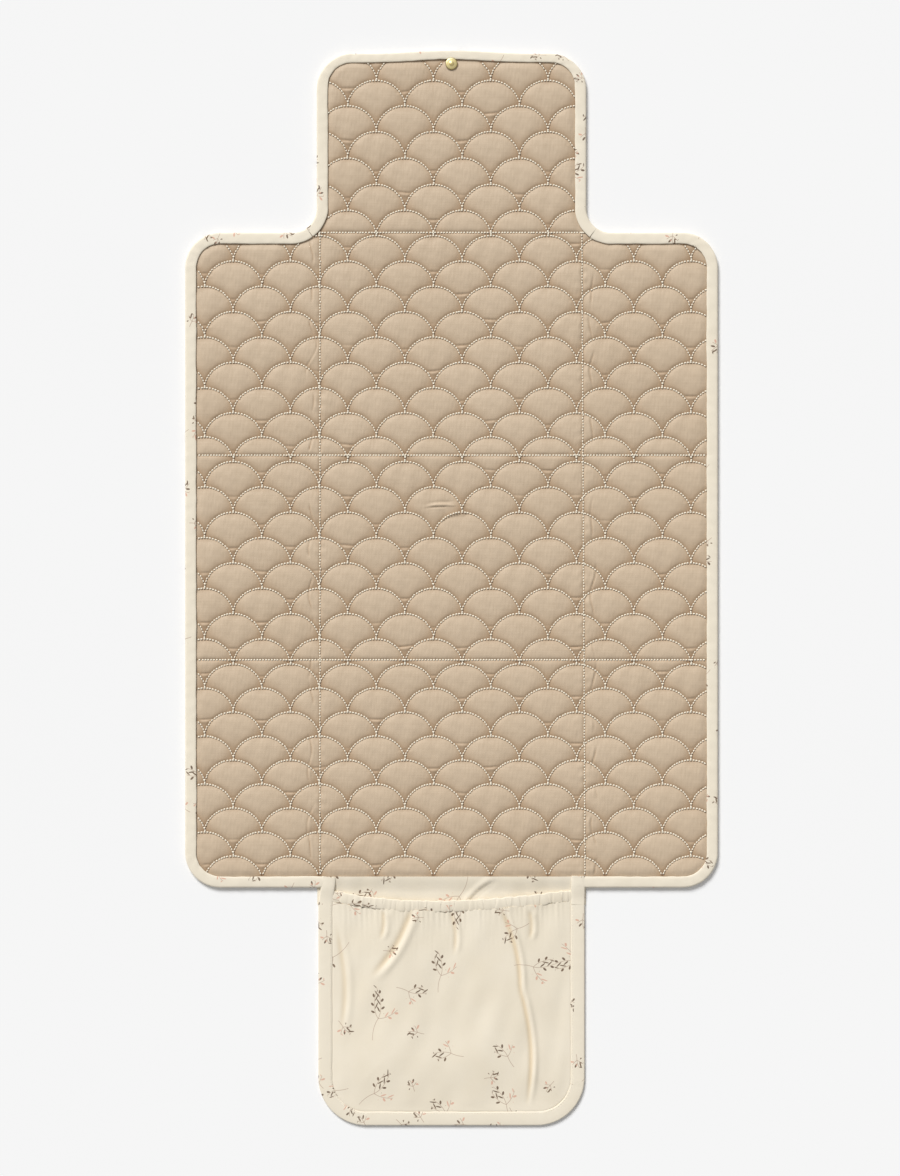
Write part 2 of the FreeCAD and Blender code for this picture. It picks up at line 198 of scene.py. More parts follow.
def inside_face(x, y):
    """How far inside the binding's inner edge a point of the quilted face is."""
    side, radius = SIDE_EDGE - TAPE, CORNER - TAPE
    bottom, top = FOOT_CREASE + TAPE, HEAD_CREASE - TAPE
    body = inside_box(x, y, -side, side, bottom, top, radius)
    half = HEAD_SIDE - TAPE
    head = inside_box(x, y, -half, half, bottom, HEAD_END - TAPE, radius)
    across, along = HEAD_SIDE + INNER_CORNER - np.abs(x), HEAD_CREASE + INNER_CORNER - y
    fillet = np.minimum(np.hypot(across, along) - INNER_CORNER - TAPE, y - bottom)
    return np.where((across > 0) & (along > 0), fillet, np.maximum(body, head))


def row_shift(y):
    """How far up the scallops are sewn from their even rows."""
    rise = smooth(y, UPPER_CREASE, UPPER_CREASE + 50 * MM)
    head = smooth(y, HEAD_CREASE + 20 * MM, HEAD_END - 50 * MM)
    closer = FOOT_ROW_SHARE * np.maximum(LOWER_CREASE - y, 0)
    return ROW_SHIFT * rise * (1 - 1.5 * head) + closer


def arc_gap(across, below):
    """Distance from a scallop's arc, and how far outside its circle a point is."""
    reach = np.hypot(across, ARC_RADIUS - below)
    within = np.arctan2(across, ARC_RADIUS - below) <= ARC_END
    end = np.hypot(across - PITCH / 2, below - ARC_DROP)
    return np.where(within, np.abs(reach - ARC_RADIUS), end), reach - ARC_RADIUS


def dip_share(gap, fall, sharp, soft):
    """1 on a stitched line: a share falls away sharply beside it, and the rest softly."""
    return fall * np.exp(-gap / sharp) + (1 - fall) * np.exp(-gap / soft)


def scallop_puff(x, y, scale=1.0, low_side=1.0):
    """0 on the scallops' stitches and near 1 between them, steepest just above each arc."""
    y = y - row_shift(y)
    first = np.floor((CROWN_Y - y) / ROW)
    puff = np.ones_like(x)
    for step in (-1, 0, 1):
        row = first + step
        below = CROWN_Y - row * ROW - y
        start = CROWN_X + np.mod(row, 2) * PITCH / 2
        near = np.abs(np.mod(x - start + PITCH / 2, PITCH) - PITCH / 2)
        for across in (near, PITCH - near):
            gap, outside = arc_gap(across, below)
            gap = np.maximum(gap - FLOOR, 0) / scale
            above, under = dip_share(gap, *ABOVE_ARC), dip_share(gap, *UNDER_ARC)
            upper = smooth(outside, -2 * MM, 2 * MM)
            puff = puff * (1 - above * upper - low_side * under * (1 - upper))
        stem = np.clip(below, ARC_DROP, ROW)
        gap = np.maximum(np.hypot(near - PITCH / 2, below - stem) - FLOOR, 0) / scale
        puff = puff * (1 - low_side * dip_share(gap, *BESIDE_STEM))
    return puff


def neck_folds(x, y):
    """Short folds across the narrow neck at the foot of each puff, and where they are deepest."""
    y = y - row_shift(y)
    row = np.round((CROWN_Y - ARC_DROP - y) / ROW + 0.4)
    start = CROWN_X + np.mod(row + 1, 2) * PITCH / 2
    column = np.round((x - start) / PITCH)
    across = x - start - column * PITCH
    strength = smooth(chance(row, column, 1), 0.25, 0.65)
    height = (7.0 + 7.0 * chance(row, column, 2)) * MM
    tilt = 0.2 * (chance(row, column, 3) - 0.5)
    sag = 6.0 * across**2 * (chance(row, column, 5) - 0.2)
    above = y - (CROWN_Y - row * ROW - ARC_DROP) - height - tilt * across - sag
    reach = 0.5 * height + (0.5 + 1.5 * chance(row, column, 4)) * MM
    window = np.exp(-((across / reach) ** 4)) * strength
    groove = bell(above, 0.9 * MM)
    ridge = bell(above + 2.3 * MM, 1.6 * MM)
    return window * (0.5 * ridge - 1.0 * groove) * MM, window * groove


def side_line(x, y):
    """How far out the long stitched line beside the column runs: the right one leans."""
    share = np.clip((HEAD_CREASE - y) / (HEAD_CREASE - FOOT_CREASE), 0, 1)
    return SIDE_STITCH + np.where(x > 0, SIDE_LEAN * (share - 1 / 3), 0)


# The stitched lines across the mat, each with how far out it runs.
CREASE_LINES = ((HEAD_CREASE, HEAD_SIDE), (UPPER_CREASE, SIDE_EDGE), (LOWER_CREASE, SIDE_EDGE))


def crease_dip(x, y):
    """1 on a straight stitched line, falling away beside it."""
    dip = np.zeros_like(x)
    for level, reach in CREASE_LINES:
        line = np.exp(-np.abs(y - level) / (1.5 * MM)) * (np.abs(x) < reach)
        dip = np.maximum(dip, line)
    beside = np.exp(-np.abs(np.abs(x) - side_line(x, y)) / (1.2 * MM)) * (y < HEAD_CREASE)
    return np.maximum(dip, 0.9 * beside)


def side_puckers(x, y):
    """Small pulls beside the two long stitched lines, and the short creases outside them."""
    gap = np.abs(x) - side_line(x, y)
    side = np.sign(x) * 90 * MM
    pulls = hills(side + gap * 0.7, y, 9 * MM, 5) * np.exp(-np.abs(gap) / (4 * MM))
    part = smooth(hills(side, y, 34 * MM, 8), -0.3, 0.5)
    lean = gap - 8.0 * MM - 2.5 * MM * hills(side, y, 45 * MM, 9)
    line = part * bell(lean, 0.8 * MM)
    lip = part * bell(lean + 2.0 * MM, 1.4 * MM)
    return (0.28 * pulls - 0.85 * line + 0.3 * lip) * MM * (y < HEAD_CREASE)


def centre_mark(x, y):
    """The puckered patch where the snap's socket is sewn behind the middle panel."""
    across, along = x + 4 * MM, y - SOCKET_Y - 2.5 * MM
    window = np.exp(-((across / (17 * MM)) ** 4))
    lip = along + 0.05 * across + 6 * across**2
    ridge = bell(lip - 1.6 * MM, 1.1 * MM)
    groove = bell(lip, 0.8 * MM) + 0.5 * bell(lip - 4.5 * MM, 1.2 * MM)
    return window * (1.1 * ridge - 1.1 * groove) * MM


def socket_cover(x, y):
    """The face rises over the socket's ring and patch behind the middle panel."""
    away = np.hypot(x, y - SOCKET_Y)
    over_ring = 3.55 * MM - 0.7 * MM * smooth(away, 5.2 * MM, 9 * MM)
    return over_ring - 0.9 * MM * smooth(away, 12.3 * MM, 15 * MM)


def face_height(x, y):
    """The quilted face's height."""
    puff = scallop_puff(x, y)
    edge = inside_face(x, y)
    puff = puff * (1 - crease_dip(x, y)) * smooth(edge, -4 * MM, 7 * MM)
    fine = 0.12 * MM * hills(x, y, 14 * MM, 3) + 0.05 * MM * hills(x * 3, y, 7 * MM, 4)
    folds = neck_folds(x, y)[0] + side_puckers(x, y) + centre_mark(x, y)
    uneven = (fine + folds * smooth(edge, 0, 5 * MM)) * smooth(puff, 0, 0.5)
    height = np.clip(VALLEY + PUFF * puff + uneven, socket_cover(x, y), FACE_TOP)
    return np.where(edge < 0.6 * MM, np.minimum(height, TUCKED_TOP), height)


def back_height(x, y):
    """The back cloth's height: it lies flat and lifts a little at the stitches."""
    puff = scallop_puff(x, y, 0.7) * (1 - crease_dip(x, y))
    tucked = 1 - smooth(inside_face(x, y), -0.5 * MM, 1.5 * MM)
    lift = np.maximum(0.45 * (1 - puff), 0.7 * tucked)
    return (0.05 + lift) * MM


# Meshes.


def new_piece(name, points, faces, material, flat, rounded=None):
    """An object with a cloth layout in metres as its UV map; only its first faces are rounded."""
    mesh = bpy.data.meshes.new(name)
    mesh.from_pydata(np.asarray(points).tolist(), [], faces)
    mesh.validate()
    mesh.update()
    layer = mesh.uv_layers.new(name="cloth")
    corner = np.empty(len(mesh.loops), dtype=np.int32)
    mesh.loops.foreach_get("vertex_index", corner)
    layer.data.foreach_set("uv", np.asarray(flat, dtype=np.float32)[corner].ravel())
    rounded = len(mesh.polygons) if rounded is None else rounded
    mesh.polygons.foreach_set("use_smooth", [index < rounded for index in range(len(mesh.polygons))])
    mesh.materials.append(material)
    shell = bmesh.new()
    shell.from_mesh(mesh)
    bmesh.ops.recalc_face_normals(shell, faces=shell.faces)
    shell.to_mesh(mesh)
    shell.free()
    if rounded < len(mesh.polygons):
        edges = np.empty(len(mesh.loops), dtype=np.int32)
        mesh.loops.foreach_get("edge_index", edges)
        creased = np.zeros(len(mesh.edges), dtype=bool)
        creased[edges[mesh.polygons[rounded].loop_start:]] = True
        mesh.attributes.new("sharp_edge", "BOOLEAN", "EDGE").data.foreach_set("value", creased)
    piece = bpy.data.objects.new(name, mesh)
    bpy.context.scene.collection.objects.link(piece)
    return piece


def quad_faces(rows, columns, wrap=False):
    """Faces of a grid of points, row by row; wrap joins the last column to the first."""
    last = columns if wrap else columns - 1
    row, column = np.meshgrid(np.arange(rows - 1), np.arange(last), indexing="ij")
    beside = (column + 1) % columns
    corners = (row * columns + column, row * columns + beside)
    above = ((row + 1) * columns + beside, (row + 1) * columns + column)
    return np.stack([*corners, *above], axis=-1).reshape(-1, 4).tolist()


def slab_piece(name, x, y, surface, level, material):
    """A closed piece between a fine surface and a level: its far side has one strip a row."""
    rows, columns = x.shape
    top = np.stack([x, y, surface], axis=-1).reshape(-1, 3)
    ends = np.stack([x[:, [0, -1]], y[:, [0, -1]], np.full((rows, 2), level)], axis=-1)
    points = np.concatenate([top, ends.reshape(-1, 3)])
    base = rows * columns
    faces = quad_faces(rows, columns)
    rounded = len(faces)
    for row in range(rows - 1):
        left, right = base + 2 * row, base + 2 * row + 1
        faces.append([left, left + 2, right + 2, right])
        faces.append([row * columns, (row + 1) * columns, left + 2, left])
        faces.append([(row + 2) * columns - 1, (row + 1) * columns - 1, right, right + 2])
    first = list(range(columns))
    faces.append(first[::-1] + [base, base + 1])
    last = [(rows - 1) * columns + column for column in first]
    faces.append(last + [base + 2 * rows - 1, base + 2 * rows - 2])
    return new_piece(name, points, faces, material, points[:, :2], rounded)


def patch(bottom, top, limits, across_first=False, width=None):
    """A grid of points between two levels, on rows that neighbouring pieces share."""
    first, last = math.floor(bottom / GRID) + 1, math.ceil(top / GRID) - 1
    inner = np.arange(first, last + 1) * GRID
    inner = inner[(inner > bottom + 0.2 * GRID) & (inner < top - 0.2 * GRID)]
    levels = np.concatenate([[bottom], inner, [top]])
    sides = np.array([limits(level) for level in levels])
    width = width or (sides[:, 1] - sides[:, 0]).max()
    share = np.linspace(0, 1, max(2, int(width / GRID)) + 1)
    x = sides[:, :1] + (sides[:, 1:] - sides[:, :1]) * share
    y = np.repeat(levels[:, None], len(share), axis=1)
    return (x.T[::-1], y.T[::-1]) if across_first else (x, y)


def rounded_limit(edge, level, end, radius):
    """The side of an outline at a level, where its corner is rounded towards an end."""
    past = max(0.0, radius - abs(end - level))
    return edge - (radius - math.sqrt(max(0.0, radius**2 - past**2)))


def head_limits(level):
    """The head flap's quilt under its binding: flared at the crease, rounded at its end."""
    half = rounded_limit(HEAD_SIDE - TUCK, level, HEAD_END - TUCK, CORNER - TUCK)
    drop = max(0.0, HEAD_CREASE + INNER_CORNER - level)
    radius = INNER_CORNER + TUCK
    half += radius - math.sqrt(radius**2 - drop**2)
    return -half, half


def column_limits(_level):
    """The column of panels, between the strips that bend with the wings."""
    return -SIDE_CREASE + SIDE_BEND, SIDE_CREASE - SIDE_BEND


def one_side(side, inner, outer):
    """A stretch's left and right limits, on the left or the right of the mat."""
    return (-outer, -inner) if side < 0 else (inner, outer)


def wing_limits(side, end):
    """A wing's outer part, with its corner rounded towards an end level, if it has one."""

    def limits(level):
        outer = SIDE_EDGE - TUCK
        if end is not None:
            outer = rounded_limit(outer, level, end, CORNER - TUCK)
        return one_side(side, SIDE_CREASE + SIDE_BEND, outer)

    return limits


def bend_limits(side):
    """The strip that bends between the column and a wing."""
    return lambda _level: one_side(side, SIDE_CREASE - SIDE_BEND, SIDE_CREASE + SIDE_BEND)


# How a strip bends is (first body, second body, start, end).
HEAD_MOTION = ("upper_panel", "head_flap", (0, HEAD_CREASE, 0), (0, HEAD_CREASE + HEAD_BEND, 0))
FOOT_MOTION = ("pocket_flap", "lower_panel", (0, FOOT_CREASE - FOOT_BEND, 0), (0, FOOT_CREASE, 0))


def column_bend(crease, half, upper, lower):
    """How a strip across the column bends."""
    return lower, upper, (0, crease - half, 0), (0, crease + half, 0)


def wing_bend(side, panel, wing):
    """How a strip bends between the column and a wing."""
    inner = (side * (SIDE_CREASE - SIDE_BEND), 0, 0)
    outer = (side * (SIDE_CREASE + SIDE_BEND), 0, 0)
    return (panel, wing, inner, outer) if side < 0 else (wing, panel, outer, inner)


def quilt_stretches():
    """Each stretch of quilt: name, bottom, top, limits, how it moves, and the nodes it stands for."""
    seam = FOOT_CREASE + TAPE - 1.0 * MM
    upper_bend = column_bend(UPPER_CREASE, UPPER_BEND, "upper_panel", "middle_panel")
    lower_bend = column_bend(LOWER_CREASE, LOWER_BEND, "middle_panel", "lower_panel")
    head_root, head_top = HEAD_CREASE + HEAD_BEND, HEAD_END - TUCK
    yield "head", head_root, head_top, head_limits, "head_flap", "head"
    yield "head_crease", HEAD_CREASE, head_root, head_limits, HEAD_MOTION, None
    upper_low, middle_top = UPPER_CREASE + UPPER_BEND, UPPER_CREASE - UPPER_BEND
    yield "upper", upper_low, HEAD_CREASE, column_limits, "upper_panel", "upper"
    yield "upper_crease", middle_top, upper_low, column_limits, upper_bend, None
    middle_low, lower_top = LOWER_CREASE + LOWER_BEND, LOWER_CREASE - LOWER_BEND
    yield "middle", middle_low, middle_top, column_limits, "middle_panel", "middle"
    yield "lower_crease", lower_top, middle_low, column_limits, lower_bend, None
    yield "lower", seam, lower_top, column_limits, "lower_panel", "lower"
    for side, word in ((-1, "left"), (1, "right")):
        for place, bottom, top, end in (
            ("upper", UPPER_CREASE, HEAD_CREASE, HEAD_CREASE - TUCK),
            ("middle", LOWER_CREASE, UPPER_CREASE, None),
            ("lower", FOOT_CREASE, LOWER_CREASE, FOOT_CREASE + TUCK),
        ):
            wing = f"{word}_wing_{place}"
            far_top = top - TUCK if place == "upper" else top
            far_low = bottom + TUCK if place == "lower" else bottom
            yield wing, far_low, far_top, wing_limits(side, end), wing, wing
            bend = wing_bend(side, f"{place}_panel", wing)
            yield f"{wing}_crease", far_low, top, bend_limits(side), bend, None


def settle(piece, motion, slot, *nodes):
    """A piece rides a body, or keeps its place where it would bend between two; it hides the CAD nodes
    that it stands for, and its slot is not used.
    """
    if isinstance(motion, str):
        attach(piece, motion)
    else:
        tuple(motion[2])
        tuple(motion[3])
        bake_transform(piece)
    if nodes:
        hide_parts(*nodes)


def add_painted_shade(piece, share):
    """Keeps how deep each point of the cloth lies in the stitching or a fold, as the share of painted
    shade that the material puts there.
    """
    values = np.zeros(len(piece.data.vertices), dtype=np.float32)
    values[: share.size] = share.ravel()
    piece.data.attributes.new("painted_shade", "FLOAT", "POINT").data.foreach_set("value", values)


def make_quilt(stretch, cloth, lining):
    """One stretch's quilted face on its wadding, and its back cloth."""
    name, bottom, top, limits, motion, nodes = stretch
    across_first = "wing" in name and name.endswith("_crease")
    width = 2 * (HEAD_SIDE - TUCK) if name.startswith("head") else None
    x, y = patch(bottom, top, limits, across_first, width)
    face = slab_piece(f"{name}_quilt", x, y, face_height(x, y), MIDDLE_LEVEL, cloth)
    # Painted shade: how much the face's colour is darkened in its stitched valleys, neck folds and pucker
    # lines.
    puff = scallop_puff(x, y, 0.8, 0.25) * (1 - 0.6 * crease_dip(x, y))
    fold_shade = np.maximum(0.6 * neck_folds(x, y)[1], -0.6 * side_puckers(x, y) / MM)
    add_painted_shade(face, np.maximum(1 - puff, fold_shade))
    back = slab_piece(f"{name}_lining", x, y, back_height(x, y), MIDDLE_LEVEL, lining)
    fronts = [f"{nodes}_face_cloth", f"{nodes}_wadding"] if nodes else []
    settle(face, motion, "face_cloth", *fronts)
    settle(back, motion, "back_cloth", *([f"{nodes}_back_cloth"] if nodes else []))


# Thread.


def scallop_stitches():
    """Every stitch of the scallops: its place and the angle that its thread runs at."""
    angles = np.arange(-ARC_END, ARC_END, STITCH / ARC_RADIUS) + STITCH / ARC_RADIUS / 2
    across = np.append(ARC_RADIUS * np.sin(angles), PITCH / 2)
    below = np.append(ARC_RADIUS * (1 - np.cos(angles)), ARC_DROP + 0.5 * STITCH)
    turn = np.append(-angles, math.pi / 2)
    rows = np.arange(math.floor((CROWN_Y - HEAD_END) / ROW), (CROWN_Y - FOOT_CREASE) // ROW + 1)
    columns = np.arange(-6, 6)
    row, column, index = np.meshgrid(rows, columns, np.arange(across.size), indexing="ij")
    x = CROWN_X + np.mod(row, 2) * PITCH / 2 + column * PITCH + across[index]
    even = CROWN_Y - row * ROW - below[index]
    y = even
    for _ in range(3):
        y = even + row_shift(y)
    return x.ravel(), y.ravel(), turn[index].ravel()


def line_stitches():
    """Every stitch of the straight lines at the creases."""
    found = []
    for level, reach in CREASE_LINES:
        x = np.arange(-reach, reach, STITCH)
        found.append((x, np.full(x.size, level), np.zeros(x.size)))
    y = np.arange(FOOT_CREASE, HEAD_CREASE, STITCH)
    for side in (-1, 1):
        x = side * side_line(np.full(y.size, side), y)
        found.append((x, y, np.full(y.size, math.pi / 2)))
    return found


def all_stitches():
    """Every stitch of the quilting that shows on the face."""
    parts = [scallop_stitches(), *line_stitches()]
    x, y, turn = (np.concatenate(rows) for rows in zip(*parts))
    kept = inside_face(x, y) > 0.8 * MM
    wobble = 0.25 * MM * hills(x * 3, y * 3, 20 * MM, 12)
    return x[kept] + wobble[kept], y[kept], turn[kept]


def bead_mesh(name, places, turn, size, sides, material):
    """Short rounded lengths of thread, all in one piece: those across the mat look fuller."""
    length, width, height = size
    full = 1 - 0.25 * np.sin(turn)[:, None] ** 2
    around = np.linspace(0, 2 * math.pi, sides, endpoint=False)
    ring = np.stack([np.cos(around) * width / 2, np.sin(around) * height / 2], axis=-1)
    along = 0.36 * length
    bead = [[-length / 2, 0, 0]]
    bead += [[-along, *point] for point in ring] + [[along, *point] for point in ring]
    bead = np.array([*bead, [length / 2, 0, 0]])
    cosine, sine = np.cos(turn)[:, None], np.sin(turn)[:, None]
    x = bead[:, 0] * cosine - bead[:, 1] * full * sine
    y = bead[:, 0] * sine + bead[:, 1] * full * cosine
    z = np.broadcast_to(bead[:, 2], x.shape)
    points = (np.stack([x, y, z], axis=-1) + places[:, None, :]).reshape(-1, 3)
    pattern = []
    for side in range(sides):
        beside = (side + 1) % sides
        near, far = (1 + side, 1 + beside), (1 + sides + side, 1 + sides + beside)
        pattern.append([0, near[1], near[0]])
        pattern.append([near[0], near[1], far[1], far[0]])
        pattern.append([2 * sides + 1, far[0], far[1]])
    faces = []
    for base in range(0, len(points), len(bead)):
        faces += [[base + corner for corner in face] for face in pattern]
    return new_piece(name, points, faces, material, points[:, :2])


def make_stitches(stretch, stitches, thread):
    """The thread that shows on one stretch's face and back."""
    name, bottom, top, limits, motion, _nodes = stretch
    x, y, turn = stitches
    sides = np.array([limits(min(max(level, bottom), top)) for level in y])
    inside = (y >= bottom) & (y < top) & (x >= sides[:, 0]) & (x < sides[:, 1])
    x, y, turn = x[inside], y[inside], turn[inside]
    face = np.stack([x, y, face_height(x, y) + THREAD_RISE], axis=-1)
    back = np.stack([x, y, np.full(x.size, BACK_THREAD_LEVEL)], axis=-1)
    piece = bead_mesh(f"{name}_thread", face, turn, FACE_THREAD, 5, thread)
    settle(piece, motion, "face_cloth")
    piece = bead_mesh(f"{name}_back_thread", back, turn, BACK_THREAD, 4, thread)
    settle(piece, motion, "back_cloth")


# Binding: how far apart the points of its arcs and its straight runs are.

ARC_STEP = 1.5 * MM
LINE_STEP = 2.5 * MM


def arc_path(centre, radius, start, end):
    """Points on an arc, from one angle in degrees to another."""
    count = max(2, int(abs(math.radians(end - start)) * radius / ARC_STEP))
    angles = np.radians(np.linspace(start, end, count + 1))
    turned = np.stack([np.cos(angles), np.sin(angles)], axis=-1)
    return np.asarray(centre) + radius * turned


def line_path(start, end):
    """Points on a straight run."""
    start, end = np.asarray(start, dtype=float), np.asarray(end, dtype=float)
    count = max(2, int(np.hypot(*(end - start)) / LINE_STEP))
    return start + (end - start) * np.linspace(0, 1, count + 1)[:, None]


def joined(*runs):
    """One path from runs that meet end to end."""
    points = np.concatenate(runs)
    step = np.hypot(*np.diff(points, axis=0).T)
    return points[np.concatenate([[True], step > 0.05 * MM])]


def path_frames(path):
    """The way each point of a path faces outwards, on its left, and how far along it is."""
    tangent = np.gradient(path, axis=0)
    tangent /= np.hypot(*tangent.T)[:, None]
    outward = np.stack([-tangent[:, 1], tangent[:, 0]], axis=-1)
    along = np.concatenate([[0], np.cumsum(np.hypot(*np.diff(path, axis=0).T))])
    return outward, along


def sweep(name, path, profile, material, waver, start=0.0):
    """A closed profile of (inset, height) points swept along a path on the floor's plane."""
    outward, along = path_frames(path)
    profile = np.asarray(profile)
    inset = np.repeat(profile[None, :, 0], len(path), axis=0)
    height = np.repeat(profile[None, :, 1], len(path), axis=0)
    inset, height = waver(path, along[:, None], inset, height)
    place = path[:, None, :] - outward[:, None, :] * inset[..., None]
    points = np.concatenate([place, height[..., None]], axis=-1).reshape(-1, 3)
    count = len(profile)
    faces = quad_faces(len(path), count, wrap=True)
    rounded = len(faces)
    faces.append(list(range(count)))
    faces.append(list(range(len(points) - count, len(points)))[::-1])
    around = np.concatenate([[0], np.cumsum(np.hypot(*np.diff(profile, axis=0).T))])
    spread = np.broadcast_to(around, inset.shape)
    flat = np.stack([np.broadcast_to(along[:, None] + start, inset.shape), spread], axis=-1)
    return new_piece(name, points, faces, material, flat.reshape(-1, 2), rounded)


def binding_profile(width, height, wall=0.75 * MM, base=0.03 * MM):
    """A tape folded round an edge: two leaves joined by a rounded fold."""
    outer, inner = [], []
    middle, half = (height + base) / 2, (height - base) / 2
    reach = half - wall
    for angle in np.radians(np.linspace(90, -90, 9)):
        round_off = abs(math.cos(angle)) ** 0.8
        outer.append((half * (1 - round_off), middle + half * math.sin(angle)))
        inner.append((half - reach * round_off, middle + reach * math.sin(angle)))
    top = [(width, height - 0.95 * MM), (width + 0.05 * MM, height - 0.35 * MM)]
    top += [(width - 0.7 * MM, height - 0.06 * MM), (width * 0.75, height + 0.02 * MM)]
    top += [(width * 0.5, height + 0.03 * MM)]
    bottom = [(width * 0.6, base), (width - 0.3 * MM, base), (width, base + 0.3 * MM)]
    bottom += [(width - 0.1 * MM, base + wall)]
    under = height - wall
    lining = [(width * 0.5, under - 0.1 * MM), (width - 0.5 * MM, under - 0.25 * MM)]
    return top + outer + bottom + inner[::-1] + lining


def tape_waver(path, _along, inset, height):
    """The small unevenness of a sewn tape: its inner edge wanders and its face puckers."""
    x, y = path[:, :1], path[:, 1:]
    wander = hills(x, y, 45 * MM, 21) + 0.5 * hills(x, y, 13 * MM, 22)
    share = smooth(inset, 4 * MM, 10 * MM)
    pucker = hills(x + inset, y - inset, 11 * MM, 23) * smooth(height, 2.2 * MM, 3.2 * MM)
    return inset + 0.22 * MM * wander * share, height + 0.12 * MM * pucker


def mirrored(path, side):
    """A left-hand path, or its mirror image run the other way."""
    return path if side < 0 else (path * np.array([-1, 1]))[::-1]


def make_tape(name, path, motion, material, start, nodes=(), profile=None, waver=tape_waver):
    """One stretch of binding: start is where along the printed cloth it was cut."""
    if profile is None:
        profile = binding_profile(TAPE, TAPE_HEIGHT)
    settle(sweep(name, path, profile, material, waver, start), motion, "binding", *nodes)


def make_bindings(cloth):
    """The tape round the mat's edge."""
    flare = (-HEAD_SIDE - INNER_CORNER, HEAD_CREASE + INNER_CORNER)
    split = math.degrees(math.asin((flare[1] - HEAD_CREASE - FLARE_SPLIT) / INNER_CORNER))
    corner = (-SIDE_EDGE + CORNER, HEAD_CREASE - CORNER)
    upper = joined(
        line_path((-SIDE_EDGE, UPPER_CREASE), (-SIDE_EDGE, corner[1])),
        arc_path(corner, CORNER, 180, 90),
        line_path((corner[0], HEAD_CREASE), (flare[0], HEAD_CREASE)),
        arc_path(flare, INNER_CORNER, -90, -split),
    )
    middle = line_path((-SIDE_EDGE, LOWER_CREASE), (-SIDE_EDGE, UPPER_CREASE))
    corner = (-SIDE_EDGE + CORNER, FOOT_CREASE + CORNER)
    lower = joined(
        line_path((-SIDE_CREASE - SIDE_BEND, FOOT_CREASE), (corner[0], FOOT_CREASE)),
        arc_path(corner, CORNER, -90, -180),
        line_path((-SIDE_EDGE, corner[1]), (-SIDE_EDGE, LOWER_CREASE)),
    )
    inner_end, outer_end = -SIDE_CREASE + 8 * MM, -SIDE_CREASE - SIDE_BEND
    crossing = line_path((inner_end, FOOT_CREASE), (outer_end, FOOT_CREASE))
    root = joined(
        arc_path(flare, INNER_CORNER, -split, 0),
        line_path((-HEAD_SIDE, flare[1]), (-HEAD_SIDE, HEAD_CREASE + HEAD_BEND)),
    )
    for side, word in ((-1, "left"), (1, "right")):
        for place, path, start in (("upper", upper, 0.1), ("middle", middle, 0.9), ("lower", lower, 1.7)):
            wing = f"{word}_wing_{place}"
            path = mirrored(path, side)
            make_tape(f"{wing}_tape", path, wing, cloth, start + side, [f"{wing}_binding"])
        bend = wing_bend(side, "lower_panel", f"{word}_wing_lower")
        make_tape(f"{word}_foot_tape", mirrored(crossing, side), bend, cloth, 4.4 + side)
        path = mirrored(root, side)
        make_tape(f"{word}_head_root_tape", path, HEAD_MOTION, cloth, 2.6 + side)
    corner = (-HEAD_SIDE + CORNER, HEAD_END - CORNER)
    left = joined(
        line_path((-HEAD_SIDE, HEAD_CREASE + HEAD_BEND), (-HEAD_SIDE, corner[1])),
        arc_path(corner, CORNER, 180, 90),
        line_path((corner[0], HEAD_END), (0, HEAD_END)),
    )
    path = joined(left, mirrored(left, 1))
    make_tape("head_tape", path, "head_flap", cloth, 3.4, ["head_binding"], waver=end_waver)


def end_waver(path, along, inset, height):
    """The head's end bows out a little at its middle, where its tape is narrower."""
    inset, height = tape_waver(path, along, inset, height)
    near_end = smooth(path[:, 1:], HEAD_END - 1.2 * CORNER, HEAD_END)
    bow = 3.0 * MM * smooth(np.abs(path[:, :1]), 0, 75 * MM) * near_end
    return inset * (1 - 0.2 * near_end) + bow, height


# Pocket: its mouth's level and sag, its casing's and tape's widths, and how far its cloth is tucked
# into the tape. BAND_TRIM is how many of the mouth's points the elastic leaves free at each end.

MOUTH_TOP = FOOT_CREASE - 2.4 * MM
MOUTH_SAG = 9.4 * MM
MOUTH_POINTS = 900
BAND_TRIM = 40
CASING = 10.5 * MM
POCKET_TAPE = 13 * MM
POCKET_TAPE_HEIGHT = 2.6 * MM
POCKET_INSIDE = POCKET_SIDE - POCKET_TAPE
POCKET_TUCK = 4 * MM
POCKET_REACH = POCKET_CORNER - POCKET_TUCK


def mouth_level(x):
    """The pocket's mouth edge: it sags between the side tapes, most left of the middle."""
    share = x / POCKET_INSIDE
    sag = np.clip(1 - share**2, 0, 1) * (MOUTH_SAG - 3.0 * MM * share)
    return MOUTH_TOP - sag + 0.35 * MM * hills(x, x * 0, 9 * MM, 31)


def pocket_edge(x, y):
    """How far a point is from the pocket tape's inner edge."""
    half, bottom = POCKET_INSIDE, FOOT_END + POCKET_TAPE
    return inside_box(x, y, -half, half, bottom, HEAD_END, POCKET_CORNER - POCKET_TAPE)


def soft_fold(x, y, start, end, width, rise):
    """A soft fold from one point to another: a ridge with a shallow groove on its right."""
    (x0, y0), (x1, y1) = start, end
    length = math.hypot(x1 - x0, y1 - y0)
    ux, uy = (x1 - x0) / length, (y1 - y0) / length
    along = (x - x0) * ux + (y - y0) * uy
    across = (x - x0) * uy - (y - y0) * ux
    across = across + 0.06 * length * np.sin(along / length * math.pi)
    window = smooth(along, -0.1 * length, 0.15 * length)
    window = window * (1 - smooth(along, 0.7 * length, 1.05 * length))
    groove = bell(across - 1.7 * width, 0.9 * width)
    return rise * window * (bell(across, width) - 0.8 * groove)


